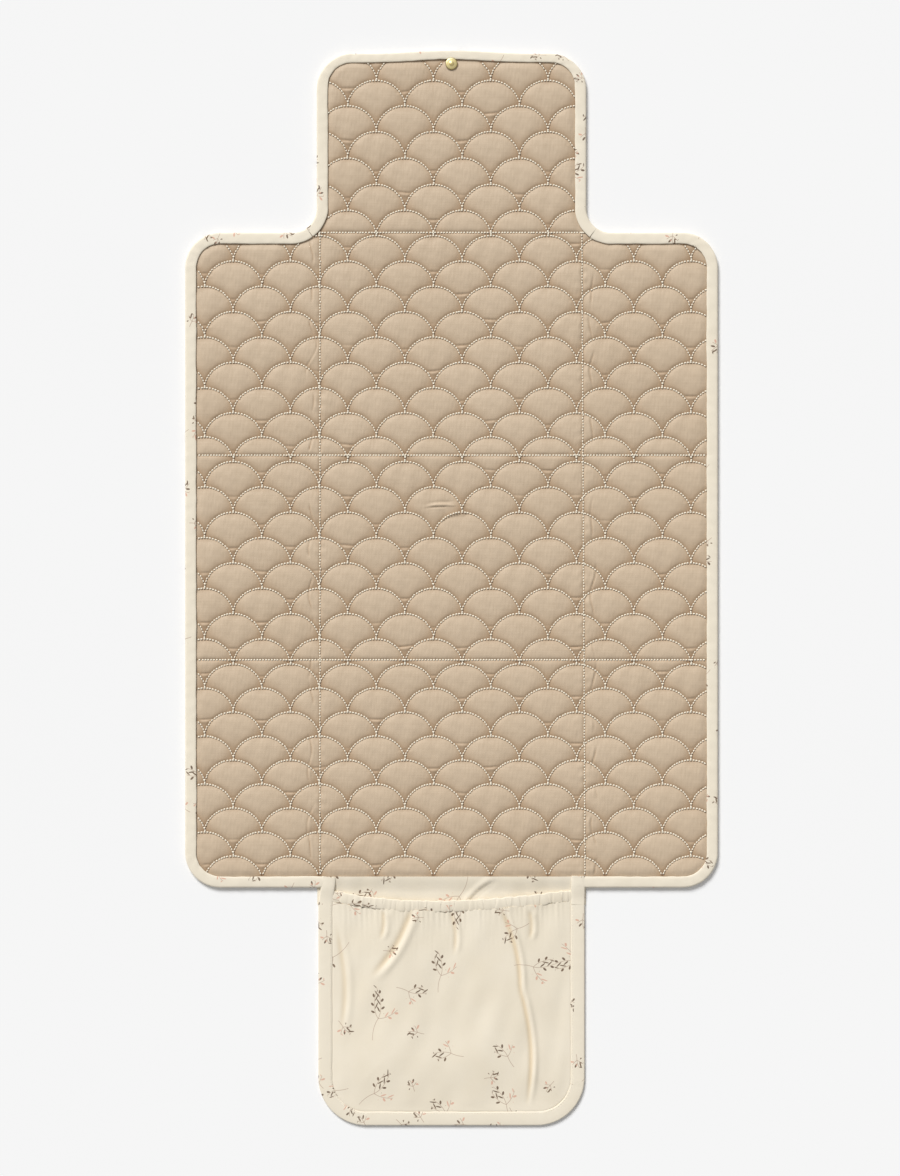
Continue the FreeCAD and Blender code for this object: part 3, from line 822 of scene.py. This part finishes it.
def pocket_folds(x, y):
    """The folds of the pocket's slack front, placed by share of its half width and its height."""
    tall = FOOT_CREASE - FOOT_END

    def fold(start, end, width, rise):
        (x0, down0), (x1, down1) = start, end
        start = x0 * POCKET_SIDE, FOOT_CREASE - down0 * tall
        end = x1 * POCKET_SIDE, FOOT_CREASE - down1 * tall
        return soft_fold(x, y, start, end, width * MM, rise * MM)

    total = fold((0.42, 0.10), (0.55, 0.46), width=2.4, rise=1.5)
    total += fold((0.55, 0.42), (0.60, 0.92), width=2.4, rise=1.4)
    total += fold((-0.26, 0.11), (-0.56, 0.39), width=3.6, rise=1.2)
    total += fold((0.03, 0.10), (0.05, 0.28), width=2.2, rise=0.9)
    total += fold((-0.48, 0.10), (-0.50, 0.22), width=2.4, rise=0.9)
    total += fold((0.62, 0.10), (0.62, 0.22), width=2.4, rise=0.9)
    total += fold((-0.82, 0.18), (-0.79, 0.62), width=3.2, rise=0.8)
    return total


def slack_height(edge):
    """The height of the pocket front's slack cloth, by how far it is from its tape."""
    sewn = smooth(edge, -1.5 * MM, 0.7 * MM)
    return (1.4 + 0.9 * sewn + 2.3 * smooth(edge, -3 * MM, 55 * MM)) * MM


def pocket_height(x, y):
    """The pocket front's height: slack and lifted at the mouth, sewn down at the edges."""
    edge = pocket_edge(x, y)
    below = mouth_level(x) - y
    height = slack_height(edge)
    near_mouth = np.exp(-np.maximum(below - CASING, 0) / (16 * MM))
    height += 0.5 * MM * near_mouth * smooth(edge, 0, 14 * MM)
    pleats = hills(x, y * 0.12, 5.2 * MM, 33, 9) * near_mouth
    soft = hills(x, y, 85 * MM, 34) * 0.40 * MM + hills(x, y, 34 * MM, 35) * 0.22 * MM
    window = smooth(edge, 0, 12 * MM)
    height += window * (pocket_folds(x, y) + soft + 0.24 * MM * pleats)
    return np.clip(height, 1.35 * MM, 6.6 * MM)


def cloth_piece(name, x, y, surface, thickness, material):
    """A closed sheet with its two faces a thickness apart."""
    rows, columns = x.shape
    top = np.stack([x, y, surface], axis=-1).reshape(-1, 3)
    under = top - np.array([0, 0, thickness])
    count = len(top)
    faces = quad_faces(rows, columns)
    faces += [[corner + count for corner in face[::-1]] for face in faces]
    rounded = len(faces)
    rim = list(range(columns)) + [columns * (row + 1) - 1 for row in range(1, rows)]
    rim += list(range(count - 2, count - columns - 1, -1))
    rim += [columns * row for row in range(rows - 2, 0, -1)]
    for first, second in zip(rim, rim[1:] + rim[:1]):
        faces.append([second, first, first + count, second + count])
    flat = np.concatenate([top, top])[:, :2]
    return new_piece(name, np.concatenate([top, under]), faces, material, flat, rounded)


def pocket_limits(level):
    """The sides of the pocket's cloth at a level, rounded towards its end."""
    half = rounded_limit(POCKET_SIDE - POCKET_TUCK, level, FOOT_END + POCKET_TUCK, POCKET_REACH)
    return -half, half


def pocket_outline(inset, top):
    """The pocket tape's path: down its right side, round its end and up its left side."""
    side, end, radius = POCKET_SIDE - inset, FOOT_END + inset, POCKET_CORNER - inset
    left, right = (-side + radius, end + radius), (side - radius, end + radius)
    return joined(
        line_path((side, top), (side, right[1])),
        arc_path(right, radius, 0, -90),
        line_path((right[0], end), (left[0], end)),
        arc_path(left, radius, -90, -180),
        line_path((-side, left[1]), (-side, top)),
    )


def make_strip(cloth):
    """The cloth that joins the pocket to the mat's foot, over its lining."""
    half = POCKET_SIDE - 7 * MM
    x, y = patch(POCKET_ROOT, FOOT_SEAM, lambda _level: (-half, half))
    slope = smooth(y, FOOT_CREASE - 5 * MM, FOOT_SEAM)
    height = (1.3 + 2.2 * slope) * MM + 0.18 * MM * hills(x, y, 26 * MM, 41)
    start, end = (0.08 * POCKET_SIDE, POCKET_ROOT), (0.32 * POCKET_SIDE, FOOT_SEAM)
    fold = np.maximum(soft_fold(x, y, start, end, 3 * MM, 0.9 * MM), -0.3 * MM)
    strip = cloth_piece("pocket_strip", x, y, height + fold, 0.7 * MM, cloth)
    x, y = patch(POCKET_ROOT, FOOT_SEAM, lambda _level: (-SIDE_CREASE, SIDE_CREASE))
    lining = cloth_piece("pocket_strip_lining", x, y, y * 0 + 0.55 * MM, 0.5 * MM, cloth)
    for piece, half, nodes in ((strip, half, ["lower_binding"]), (lining, SIDE_CREASE, [])):
        settle(piece, FOOT_MOTION, "pocket_cloth", *nodes)


def pocket_sheet(tall):
    """Works out the area of a pocket panel's cut, a rectangle less two rounded corners, and keeps
    nothing.
    """
    cut = 2 * (POCKET_SIDE - POCKET_TUCK), tall
    corners = (4 - math.pi) / 2 * POCKET_REACH**2
    cut[0] * cut[1] - corners


def make_pocket_back(cloth):
    """The pocket's flat back panel."""
    x, y = patch(FOOT_END + POCKET_TUCK, POCKET_ROOT, pocket_limits)
    height = 0.9 * MM + 0.1 * MM * hills(x, y, 60 * MM, 42)
    back = slab_piece("pocket_back", x, y, height, 0.2 * MM, cloth)
    settle(back, "pocket_flap", "pocket_cloth", "pocket_back_panel")
    pocket_sheet(POCKET_ROOT - FOOT_END - POCKET_TUCK)


def make_pocket_front(cloth):
    """The pocket's slack front, from its end up into its casing."""
    step = 1.1 * MM
    columns = np.linspace(-1, 1, int(2 * POCKET_SIDE / step))
    rows = np.linspace(0, 1, int((FOOT_CREASE - FOOT_END) / step))
    share_x, share_y = np.meshgrid(columns, rows)
    bottom = FOOT_END + POCKET_TUCK
    top = mouth_level(share_x * (POCKET_INSIDE - 0.5 * MM)) - CASING + 1.2 * MM
    y = bottom + (top - bottom) * share_y
    past = np.maximum(0, POCKET_REACH - (y - bottom))
    rounding = POCKET_REACH - np.sqrt(np.maximum(0, POCKET_REACH**2 - past**2))
    x = share_x * (POCKET_SIDE - POCKET_TUCK - rounding)
    front = cloth_piece("pocket_front", x, y, pocket_height(x, y), 0.7 * MM, cloth)
    # Painted shade: the share of warm tint that the material puts in the grooves of the front's folds.
    fold_shade = np.clip(-pocket_folds(x, y) / (0.9 * MM), 0, 1)
    add_painted_shade(front, fold_shade * smooth(pocket_edge(x, y), 0, 8 * MM))
    settle(front, "pocket_flap", "pocket_cloth", "pocket_front_panel")
    pocket_sheet(FOOT_CREASE - FOOT_END - POCKET_TUCK - CASING)


def make_mouth(cloth, elastic):
    """The gathered casing at the pocket's mouth, with its elastic inside."""
    reach = POCKET_INSIDE + 1.5 * MM
    x = np.linspace(-reach, reach, MOUTH_POINTS)
    path = np.stack([x, mouth_level(x)], axis=-1)
    profile = binding_profile(CASING, 2.0 * MM, 0.55 * MM, 0)
    casing = sweep("pocket_casing", path, profile, cloth, casing_waver, 0.35)
    settle(casing, "pocket_flap", "pocket_cloth")
    band = sweep("pocket_band", path[BAND_TRIM:-BAND_TRIM], band_profile(), elastic, band_waver)
    settle(band, "pocket_flap", "elastic", "pocket_elastic")


def make_pocket_tape(cloth, thread):
    """The tape round the pocket, its two tabs at the mat's foot, and its seam."""
    profile = binding_profile(POCKET_TAPE, POCKET_TAPE_HEIGHT)
    path, nodes = pocket_outline(0, POCKET_ROOT), ["pocket_binding"]
    make_tape("pocket_tape", path, "pocket_flap", cloth, 5.2, nodes, profile)
    for side, word, lean in ((-1, "left", 3.8 * MM), (1, "right", -0.6 * MM)):
        tab = line_path((-POCKET_SIDE, POCKET_ROOT), (-POCKET_SIDE + lean, FOOT_SEAM + 0.4 * MM))
        tab = mirrored(tab, side)
        make_tape(f"pocket_{word}_tab", tab, FOOT_MOTION, cloth, 6.0, (), profile, tab_waver)
    make_seam(pocket_outline(POCKET_TAPE - 1.6 * MM, FOOT_CREASE + 6 * MM), thread)


def tab_waver(path, along, inset, height):
    """The tape thickens as it climbs from the pocket over the edge of the quilt."""
    climb = smooth(path[:, 1:], FOOT_CREASE - 12 * MM, FOOT_CREASE + 4 * MM)
    inset, height = tape_waver(path, along, inset, height)
    return inset, height * (1 + 0.55 * climb)


def casing_base(x):
    """The casing's height over the floor: it follows the front down to the tapes at its ends."""
    edge = POCKET_INSIDE - np.abs(x)
    lifted = slack_height(edge) + 0.5 * MM * smooth(edge, 0, 14 * MM)
    return np.maximum(lifted - 1.5 * MM, 0.4 * MM)


def casing_waver(path, _along, inset, height):
    """The casing's pleats, gathered by the elastic."""
    x = path[:, :1]
    pleat = hills(x, x * 0, 4.4 * MM, 61, 9)
    broad = hills(x, x * 0, 12 * MM, 62)
    share = 0.5 + 0.5 * smooth(inset, 0, 0.4 * CASING)
    height = height * (1 + 0.07 * pleat * share) + 0.1 * MM * broad * share
    lean = 0.35 * MM * pleat * smooth(inset, 0.2 * CASING, CASING)
    drop = 0.55 * MM * smooth(inset, 0.45 * CASING, CASING) * smooth(height, 0.8 * MM, 1.8 * MM)
    return inset + lean, np.clip(height - drop, 0, 3.1 * MM) + casing_base(x)


def band_profile():
    """The elastic's section: flat, with cords along it."""
    width, thick = 7 * MM, 0.35 * MM
    across = np.linspace(1.8 * MM, 1.8 * MM + width, 15)
    ridge = 0.05 * MM * np.cos(np.arange(15) * math.pi)
    upper = [(inset, 1.2 * MM + rise) for inset, rise in zip(across, ridge)]
    lower = [(inset, 1.2 * MM - thick - rise) for inset, rise in zip(across, ridge)]
    return upper + lower[::-1]


def band_waver(path, _along, inset, height):
    """The elastic lies along the inside of the casing."""
    return inset, height + casing_base(path[:, :1])


def make_seam(path, thread):
    """A line of small stitches along a path on the pocket's tape."""
    _outward, along = path_frames(path)
    places = np.arange(STITCH, along[-1], STITCH)
    x, y = (np.interp(places, along, path[:, axis]) for axis in (0, 1))
    ahead = [np.interp(places + 0.3 * MM, along, path[:, axis]) for axis in (0, 1)]
    turn = np.arctan2(ahead[1] - y, ahead[0] - x)
    on_flap = y < POCKET_ROOT
    points = np.stack([x, y, np.full(x.size, SEAM_LEVEL)], axis=-1)[on_flap]
    piece = bead_mesh("pocket_seam", points, turn[on_flap], SEAM_THREAD, 5, thread)
    settle(piece, "pocket_flap", "pocket_cloth")


# Snap: how many sides its round parts have.

SEGMENTS = 72


def lathe(name, centre, profile, material):
    """A closed round piece from a profile of (radius, height) points, first and last on the axis."""
    angles = np.linspace(0, 2 * math.pi, SEGMENTS, endpoint=False)
    turned = np.stack([np.cos(angles), np.sin(angles)], axis=-1)
    points = [(centre[0], centre[1], profile[0][1])]
    for radius, height in profile[1:-1]:
        points += [(centre[0] + radius * c, centre[1] + radius * s, height) for c, s in turned]
    points.append((centre[0], centre[1], profile[-1][1]))
    faces = [[0, 1 + (n + 1) % SEGMENTS, 1 + n] for n in range(SEGMENTS)]
    rings = len(profile) - 2
    body = quad_faces(rings, SEGMENTS, wrap=True)
    faces += [[corner + 1 for corner in face] for face in body]
    last, base = len(points) - 1, 1 + (rings - 1) * SEGMENTS
    faces += [[last, base + n, base + (n + 1) % SEGMENTS] for n in range(SEGMENTS)]
    flat = [(x - centre[0], y - centre[1]) for x, y, _z in points]
    return new_piece(name, points, faces, material, flat)


def ring_lathe(name, centre, profile, material):
    """A ring: a closed profile of (radius, height) points turned about its centre."""
    path = [(math.cos(a), math.sin(a)) for a in np.linspace(0, 2 * math.pi, SEGMENTS, endpoint=False)]
    points = [(centre[0] + r * c, centre[1] + r * s, z) for c, s in path for r, z in profile]
    count = len(profile)
    faces = quad_faces(SEGMENTS, count, wrap=True)
    base = (SEGMENTS - 1) * count
    for index in range(count):
        beside = (index + 1) % count
        faces.append([base + index, base + beside, beside, index])
    flat = [(x - centre[0], y - centre[1]) for x, y, _z in points]
    return new_piece(name, points, faces, material, flat)


def snap_part(name, make, centre, material, body, slot, node, *points):
    """A round part of the snap, from its section's (radius, height) points in millimetres."""
    profile = [(radius * MM, height * MM) for radius, height in points]
    settle(make(name, centre, profile, material), body, slot, node)


def make_snap(brass, patch_cloth):
    """The snap: stud and cap through the head's tape, socket, patch and ring behind the middle."""
    head, middle = (0.0, SNAP_Y), (0.0, SOCKET_Y)
    snap_part(
        "snap_stud_disc", lathe, head, brass, "head_flap", "snap_metal", "snap_stud",
        (0, 1.0), (1.6, 1.0), (1.6, 4.15), (4.9, 4.15), (5.45, 4.25), (5.7, 4.5), (5.65, 4.85),
        (5.35, 5.15), (4.9, 5.3), (4.0, 5.4), (3.0, 5.45), (2.2, 5.52), (1.8, 5.7), (1.72, 6.0),
        (1.6, 6.3), (1.2, 6.5), (0.6, 6.58), (0, 6.6),
    )
    snap_part(
        "snap_cap_disc", lathe, head, brass, "head_flap", "snap_metal", "snap_stud_cap",
        (0, 0.1), (3.4, 0.1), (4.6, 0.16), (5.15, 0.35), (5.3, 0.6), (5.1, 0.85), (4.6, 0.95),
        (2.0, 0.95), (0, 0.95),
    )
    snap_part(
        "snap_socket_cup", ring_lathe, middle, brass, "middle_panel", "snap_metal", "snap_socket",
        (2.1, 2.25), (2.1, 1.35), (2.35, 1.02), (2.9, 0.92), (3.7, 1.05), (4.3, 1.3), (4.8, 1.28),
        (5.2, 1.05), (5.6, 1.15), (5.72, 1.55), (5.5, 2.0), (5.0, 2.25),
    )
    snap_part(
        "snap_ring", ring_lathe, middle, brass, "middle_panel", "snap_metal", "snap_prong_ring",
        (2.2, 2.75), (4.3, 2.75), (4.6, 2.95), (4.5, 3.2), (4.0, 3.3), (3.0, 3.28), (2.3, 3.1),
    )
    snap_part(
        "snap_patch_disc", lathe, middle, patch_cloth, "middle_panel", "patch", "snap_patch",
        (0, 2.32), (11.6, 2.32), (12.0, 2.45), (11.8, 2.62), (8.0, 2.7), (0, 2.7),
    )


# Materials.


class Wire:
    """A number in a material's node tree: arithmetic on it adds Math nodes."""

    def __init__(self, tree, socket):
        self.tree, self.socket = tree, socket

    def math(self, operation, *others):
        node = self.tree.node("Math", operation=operation)
        for place, value in zip(node.inputs, (self, *others)):
            self.tree.plug(value, place)
        return Wire(self.tree, node.outputs[0])

    def __add__(self, other):
        return self.math("ADD", other)

    def __sub__(self, other):
        return self.math("SUBTRACT", other)

    def __mul__(self, other):
        return self.math("MULTIPLY", other)

    def step(self, start, end):
        """0 at start and 1 at end, smooth between."""
        node = self.tree.node("MapRange", interpolation_type="SMOOTHSTEP")
        return self.tree.feed(node, {"Value": self, "From Min": start, "From Max": end})


class Cloth:
    """A material being made, with its node tree and its shader."""

    def __init__(self, name, colour, roughness):
        self.material = bpy.data.materials.new(name)
        self.material.use_nodes = True
        self.nodes = self.material.node_tree.nodes
        self.links = self.material.node_tree.links
        self.shader = self.nodes["Principled BSDF"]
        self.feed(self.shader, {"Base Color": linear(colour), "Roughness": roughness})

    def node(self, kind, **settings):
        """A new node of a kind, with its settings."""
        node = self.nodes.new(f"ShaderNode{kind}")
        for name, value in settings.items():
            setattr(node, name, value)
        return node

    def plug(self, value, socket):
        """Links a wire or an output into an input, or sets the input to a fixed value."""
        value = value.socket if isinstance(value, Wire) else value
        if isinstance(value, bpy.types.NodeSocket):
            self.links.new(value, socket)
        else:
            socket.default_value = value

    def feed(self, node, values):
        """Plugs a node's inputs by name, and gives its first output."""
        for name, value in values.items():
            self.plug(value, node.inputs[name])
        return Wire(self, node.outputs[0])

    def place(self):
        """The cloth's own flat position, in metres."""
        return self.node("UVMap", uv_map="cloth").outputs[0]

    def vector(self, operation, *values):
        """Vector arithmetic on outputs and fixed vectors."""
        node = self.node("VectorMath", operation=operation)
        for place, value in zip(node.inputs, values):
            self.plug(value, place)
        return node.outputs[0]

    def scaled(self, vector, x, y):
        return self.vector("MULTIPLY", vector, (x, y, 1))

    def split(self, vector):
        node = self.node("SeparateXYZ")
        self.plug(vector, node.inputs[0])
        return Wire(self, node.outputs[0]), Wire(self, node.outputs[1])

    def noise(self, vector, scale=1.0, detail=2.0):
        node = self.node("TexNoise", noise_dimensions="2D")
        return self.feed(node, {"Vector": vector, "Scale": scale, "Detail": detail})

    def attribute(self, name):
        return Wire(self, self.node("Attribute", attribute_name=name).outputs["Fac"])

    def mix(self, share, first, second):
        """One colour over another: each is a colour or an earlier mix."""
        node = self.node("Mix", data_type="RGBA")
        self.plug(share, node.inputs["Factor"])
        for colour, letter in ((first, "A"), (second, "B")):
            socket = [s for s in node.inputs if s.name == letter and s.type == "RGBA"][0]
            self.plug(linear(colour) if isinstance(colour, tuple) else colour, socket)
        return [s for s in node.outputs if s.type == "RGBA"][0]

    def weave(self, vector, threads, strength, depth, extra=None):
        """A plain weave's relief, with threads at a spacing in metres."""
        x, y = self.split(self.scaled(vector, math.pi / threads, math.pi / threads))
        relief = x.math("SINE") * y.math("SINE")
        if extra is not None:
            relief = relief + extra
        values = {"Strength": strength, "Distance": depth, "Height": relief}
        self.feed(self.shader, {"Normal": self.feed(self.node("Bump"), values)})

    def finish(self, colour, roughness=None):
        self.feed(self.shader, {"Base Color": colour})
        if roughness is not None:
            self.feed(self.shader, {"Roughness": roughness})
        return self.material


def linear(colour):
    """A colour given from 0 to 255, as the linear values that a shader takes."""
    return tuple((value / 255) ** 2.2 for value in colour) + (1.0,)


def satin_cloth(name, light, dark, shade, crease):
    """A smooth cotton satin with faint slubs, with painted shade where it is sewn down and folded."""
    cloth = Cloth(name, light, 0.55)
    place = cloth.place()
    across = cloth.noise(cloth.scaled(place, 14, 900), detail=3)
    along = cloth.noise(cloth.scaled(place, 1100, 16), detail=3)
    broad = cloth.noise(place, 9, 2)
    slub = (across.step(0.38, 0.7) + along.step(0.38, 0.7)) * 0.22 + broad * 0.5
    colour = cloth.mix(slub, light, dark)
    # Painted shade: the colour darkens to the shade colour in the stitched valleys and folds, and to the
    # darker crease colour at their deepest.
    painted_shade = cloth.attribute("painted_shade")
    colour = cloth.mix(painted_shade.step(0.05, 0.75) * 0.8, colour, shade)
    colour = cloth.mix(painted_shade.step(0.6, 1.0) * 0.8, colour, crease)
    cloth.weave(place, 0.28 * MM, 0.35, 0.06 * MM, (across + along) * 1.2)
    cloth.feed(cloth.shader, {"Sheen Weight": 0.25, "Sheen Roughness": 0.45})
    cloth.feed(cloth.shader, {"Specular IOR Level": 0.35})
    return cloth.finish(colour, across * 0.12 + 0.48)


def sprig_places(cloth, place, spacing, seed):
    """Each point's offset in millimetres from the nearest sprig, and that sprig's random draws."""
    scale, shift = (1 / spacing, 1 / spacing, 1), (seed, seed * 1.7, 0)
    moved = cloth.vector("MULTIPLY_ADD", place, scale, shift)
    node = cloth.node("TexVoronoi", voronoi_dimensions="2D")
    cloth.feed(node, {"Vector": moved, "Scale": 1, "Randomness": 0.65})
    apart = cloth.vector("SUBTRACT", moved, node.outputs["Position"])
    offset = cloth.split(cloth.scaled(apart, spacing / MM, spacing / MM))
    draw = cloth.node("SeparateColor")
    cloth.plug(node.outputs["Color"], draw.inputs[0])
    return offset, [Wire(cloth, output) for output in draw.outputs]


def sprig_branch(offset, turn, bare, length, bend):
    """Where one branch from a sprig's foot has its stem and its pairs of leaves."""
    dx, dy = offset
    cosine, sine = turn.math("COSINE"), turn.math("SINE")
    along, across = dx * cosine + dy * sine, dy * cosine - dx * sine
    across = across - along * along * bend
    side = across.math("ABSOLUTE")
    forward = along.math("GREATER_THAN", 0) * along.math("LESS_THAN", length)
    stem = side.step(0.42, 0.15) * forward
    shift = across.math("SIGN") * 1.5
    rank = (along + shift).math("FLOORED_MODULO", 6.2) - 3.3
    out = side - 2.25
    lean_a, lean_b = rank * 0.7 + out * 0.71, rank * 0.71 - out * 0.7
    leaf = (lean_a * lean_a) * 0.17 + (lean_b * lean_b) * 1.7
    return stem, leaf.step(1.3, 0.6) * forward * along.math("GREATER_THAN", bare)


def printed_cloth(name, ground, shade, prints):
    """A cream cotton printed with branching sprigs, each print with a spacing, seed, reach and share, and
    painted shade in its folds.
    """
    brown, umber, pink = (94, 66, 42), (104, 76, 50), (222, 174, 150)
    # The stems' ink, then the painted shade colour for the grooves of folds.
    stalk, fold_shade = (172, 144, 124), (226, 203, 166)
    cloth = Cloth(name, ground, 0.7)
    place = cloth.place()
    broad = cloth.noise(place, 22, 3)
    fine = cloth.noise(cloth.scaled(place, 1500, 1500), detail=1)
    colour = cloth.mix(broad * 0.5 + fine * 0.25, ground, shade)
    # Painted shade: a warm tint in the grooves of the pocket front's folds.
    colour = cloth.mix(cloth.attribute("painted_shade") * 0.65, colour, fold_shade)
    worn = fine * 0.2 + 0.8
    for spacing, seed, reach, share in prints:
        offset, (red, green, blue) = sprig_places(cloth, place, spacing, seed)
        shown = blue.math("LESS_THAN", share) * worn
        turn = red * (2 * math.pi)
        length = green * (0.5 * reach) + 0.6 * reach
        for lean, part, bend, ink in (
            (0.0, 1.0, 0.022, brown),
            (1.05, 0.85, -0.026, umber),
            (-1.1, 0.75, 0.024, pink),
            (3.0, 0.75, 0.018, None),
        ):
            stem, leaf = sprig_branch(offset, turn + lean, 0.26 * reach, length * part, bend)
            colour = cloth.mix(stem * shown * 0.75, colour, stalk)
            if ink:
                colour = cloth.mix(leaf * shown, colour, ink)
    cloth.weave(place, 0.3 * MM, 0.4, 0.06 * MM, fine * 0.8)
    cloth.feed(cloth.shader, {"Sheen Weight": 0.2, "Sheen Roughness": 0.5})
    return cloth.finish(colour, fine * 0.1 + 0.66)


def thread_material(name, light, dark):
    """Twisted sewing thread."""
    cloth = Cloth(name, light, 0.55)
    place = cloth.place()
    strands = cloth.noise(cloth.scaled(place, 2600, 2600), detail=1)
    colour = cloth.mix(strands.step(0.3, 0.7), light, dark)
    cloth.weave(place, 0.22 * MM, 0.5, 0.08 * MM)
    cloth.feed(cloth.shader, {"Sheen Weight": 0.3})
    return cloth.finish(colour, strands * 0.2 + 0.45)


def brass_material(name):
    """Pale polished brass with fine scratches, and a painted shade round its rim."""
    metal = Cloth(name, (238, 222, 178), 0.25)
    metal.feed(metal.shader, {"Metallic": 1.0})
    place = metal.place()
    x, y = metal.split(place)
    radius = (x * x + y * y).math("SQRT")
    cloudy = metal.noise(place, 700, 3)
    # Painted shade: the outer rim is darkened all the way round.
    rim = radius.step(4.9 * MM, 5.4 * MM)
    colour = metal.mix(cloudy.step(0.3, 0.8), (255, 238, 180), (246, 224, 150))
    colour = metal.mix(rim * 0.7, colour, (132, 112, 70))
    scratches = metal.noise(metal.scaled(place, 6000, 500), detail=2)
    metal.weave(place, 0.9 * MM, 0.08, 0.02 * MM, scratches * 2.0)
    return metal.finish(colour, cloudy * 0.2 + 0.32)


def elastic_material(name):
    """Knitted white elastic."""
    cloth = Cloth(name, (232, 228, 218), 0.75)
    place = cloth.place()
    knit = cloth.noise(cloth.scaled(place, 1800, 500), detail=1)
    colour = cloth.mix(knit, (238, 234, 226), (212, 206, 194))
    cloth.weave(place, 0.5 * MM, 0.7, 0.15 * MM)
    return cloth.finish(colour, knit * 0.1 + 0.7)


# Stage: the sun, the even fill, and the floor.

SUN_ENERGY = 3.14
SUN_SOFTNESS = math.radians(24)
SUN_TURN = (math.radians(-52), 0, math.radians(28))
FILL_STRENGTH = 0.35
FLOOR_LEVEL = -0.6 * MM
FLOOR_REACH = 30

# The camera: its lens and sensor in millimetres, how far it stands to one side, the level that its
# distance is counted from, and the picture's height as a multiple of the mat's.
LENS = 85
SENSOR = 36
CAMERA_X = -1.4 * MM
FOCUS_LEVEL = 4 * MM
PICTURE_SHARE = 1.0932


def make_stage():
    """A pale floor, a big soft light from the upper left and an even fill."""
    cloth = Cloth("floor", (250, 250, 250), 0.9)
    cloth.feed(cloth.shader, {"Specular IOR Level": 0.0})
    mottle = cloth.noise(cloth.place(), 3, 1)
    colour = cloth.mix(mottle, (250, 250, 250), (249, 249, 249))
    corners = [(x * FLOOR_REACH, y * FLOOR_REACH) for x, y in ((-1, -1), (1, -1), (1, 1), (-1, 1))]
    points = [(x, y, FLOOR_LEVEL) for x, y in corners]
    new_piece("floor", points, [[0, 1, 2, 3]], cloth.finish(colour), corners)
    world = bpy.data.worlds.new("studio")
    world.use_nodes = True
    fill = world.node_tree.nodes["Background"]
    fill.inputs["Color"].default_value = (1, 1, 1, 1)
    fill.inputs["Strength"].default_value = FILL_STRENGTH
    bpy.context.scene.world = world
    light = bpy.data.lights.new("key", "SUN")
    light.energy = SUN_ENERGY
    light.angle = SUN_SOFTNESS
    lamp = bpy.data.objects.new("key", light)
    lamp.rotation_euler = SUN_TURN
    bpy.context.scene.collection.objects.link(lamp)
    bpy.context.scene.view_settings.view_transform = "Standard"


def make_camera():
    """A camera straight above the mat, with the head flap at the top of the picture."""
    camera = bpy.data.cameras.new("camera")
    camera.lens, camera.sensor_width, camera.clip_end = LENS, SENSOR, 100
    seat = bpy.data.objects.new("camera", camera)
    tall = (CAD_BOX[1][1] - CAD_BOX[0][1]) * PICTURE_SHARE
    seat.location = (CAMERA_X, 0, tall * camera.lens / camera.sensor_width + FOCUS_LEVEL)
    bpy.context.scene.collection.objects.link(seat)
    bpy.context.scene.camera = seat


def main():
    """Makes the camera and stage, then every piece of the mat."""
    make_camera()
    make_stage()
    # shade and crease are the painted shade colours for the stitched valleys and their deepest creases.
    face = satin_cloth(
        "tan_satin",
        light=(209, 188, 162),
        dark=(194, 172, 145),
        shade=(171, 142, 111),
        crease=(130, 98, 70),
    )
    sprigs = (0.058, 3.3, 24, 0.92), (0.040, 8.1, 10, 0.4)
    small_sprigs = (0.032, 5.7, 13, 0.7), (0.026, 2.4, 9, 0.25)
    cream = printed_cloth("printed_cream", (246, 236, 217), (226, 212, 185), sprigs)
    lining = printed_cloth("printed_back", (243, 233, 214), (228, 214, 188), sprigs)
    tape_cream = printed_cloth("printed_tape", (243, 233, 214), (233, 221, 197), small_sprigs)
    thread = thread_material("cream_thread", (255, 249, 232), (252, 238, 212))
    stitches = all_stitches()
    for stretch in quilt_stretches():
        make_quilt(stretch, face, lining)
        make_stitches(stretch, stitches, thread)
    make_bindings(tape_cream)
    make_strip(cream)
    make_pocket_back(cream)
    make_pocket_front(cream)
    make_mouth(cream, elastic_material("white_elastic"))
    make_pocket_tape(tape_cream, thread)
    make_snap(brass_material("pale_brass"), lining)


main()
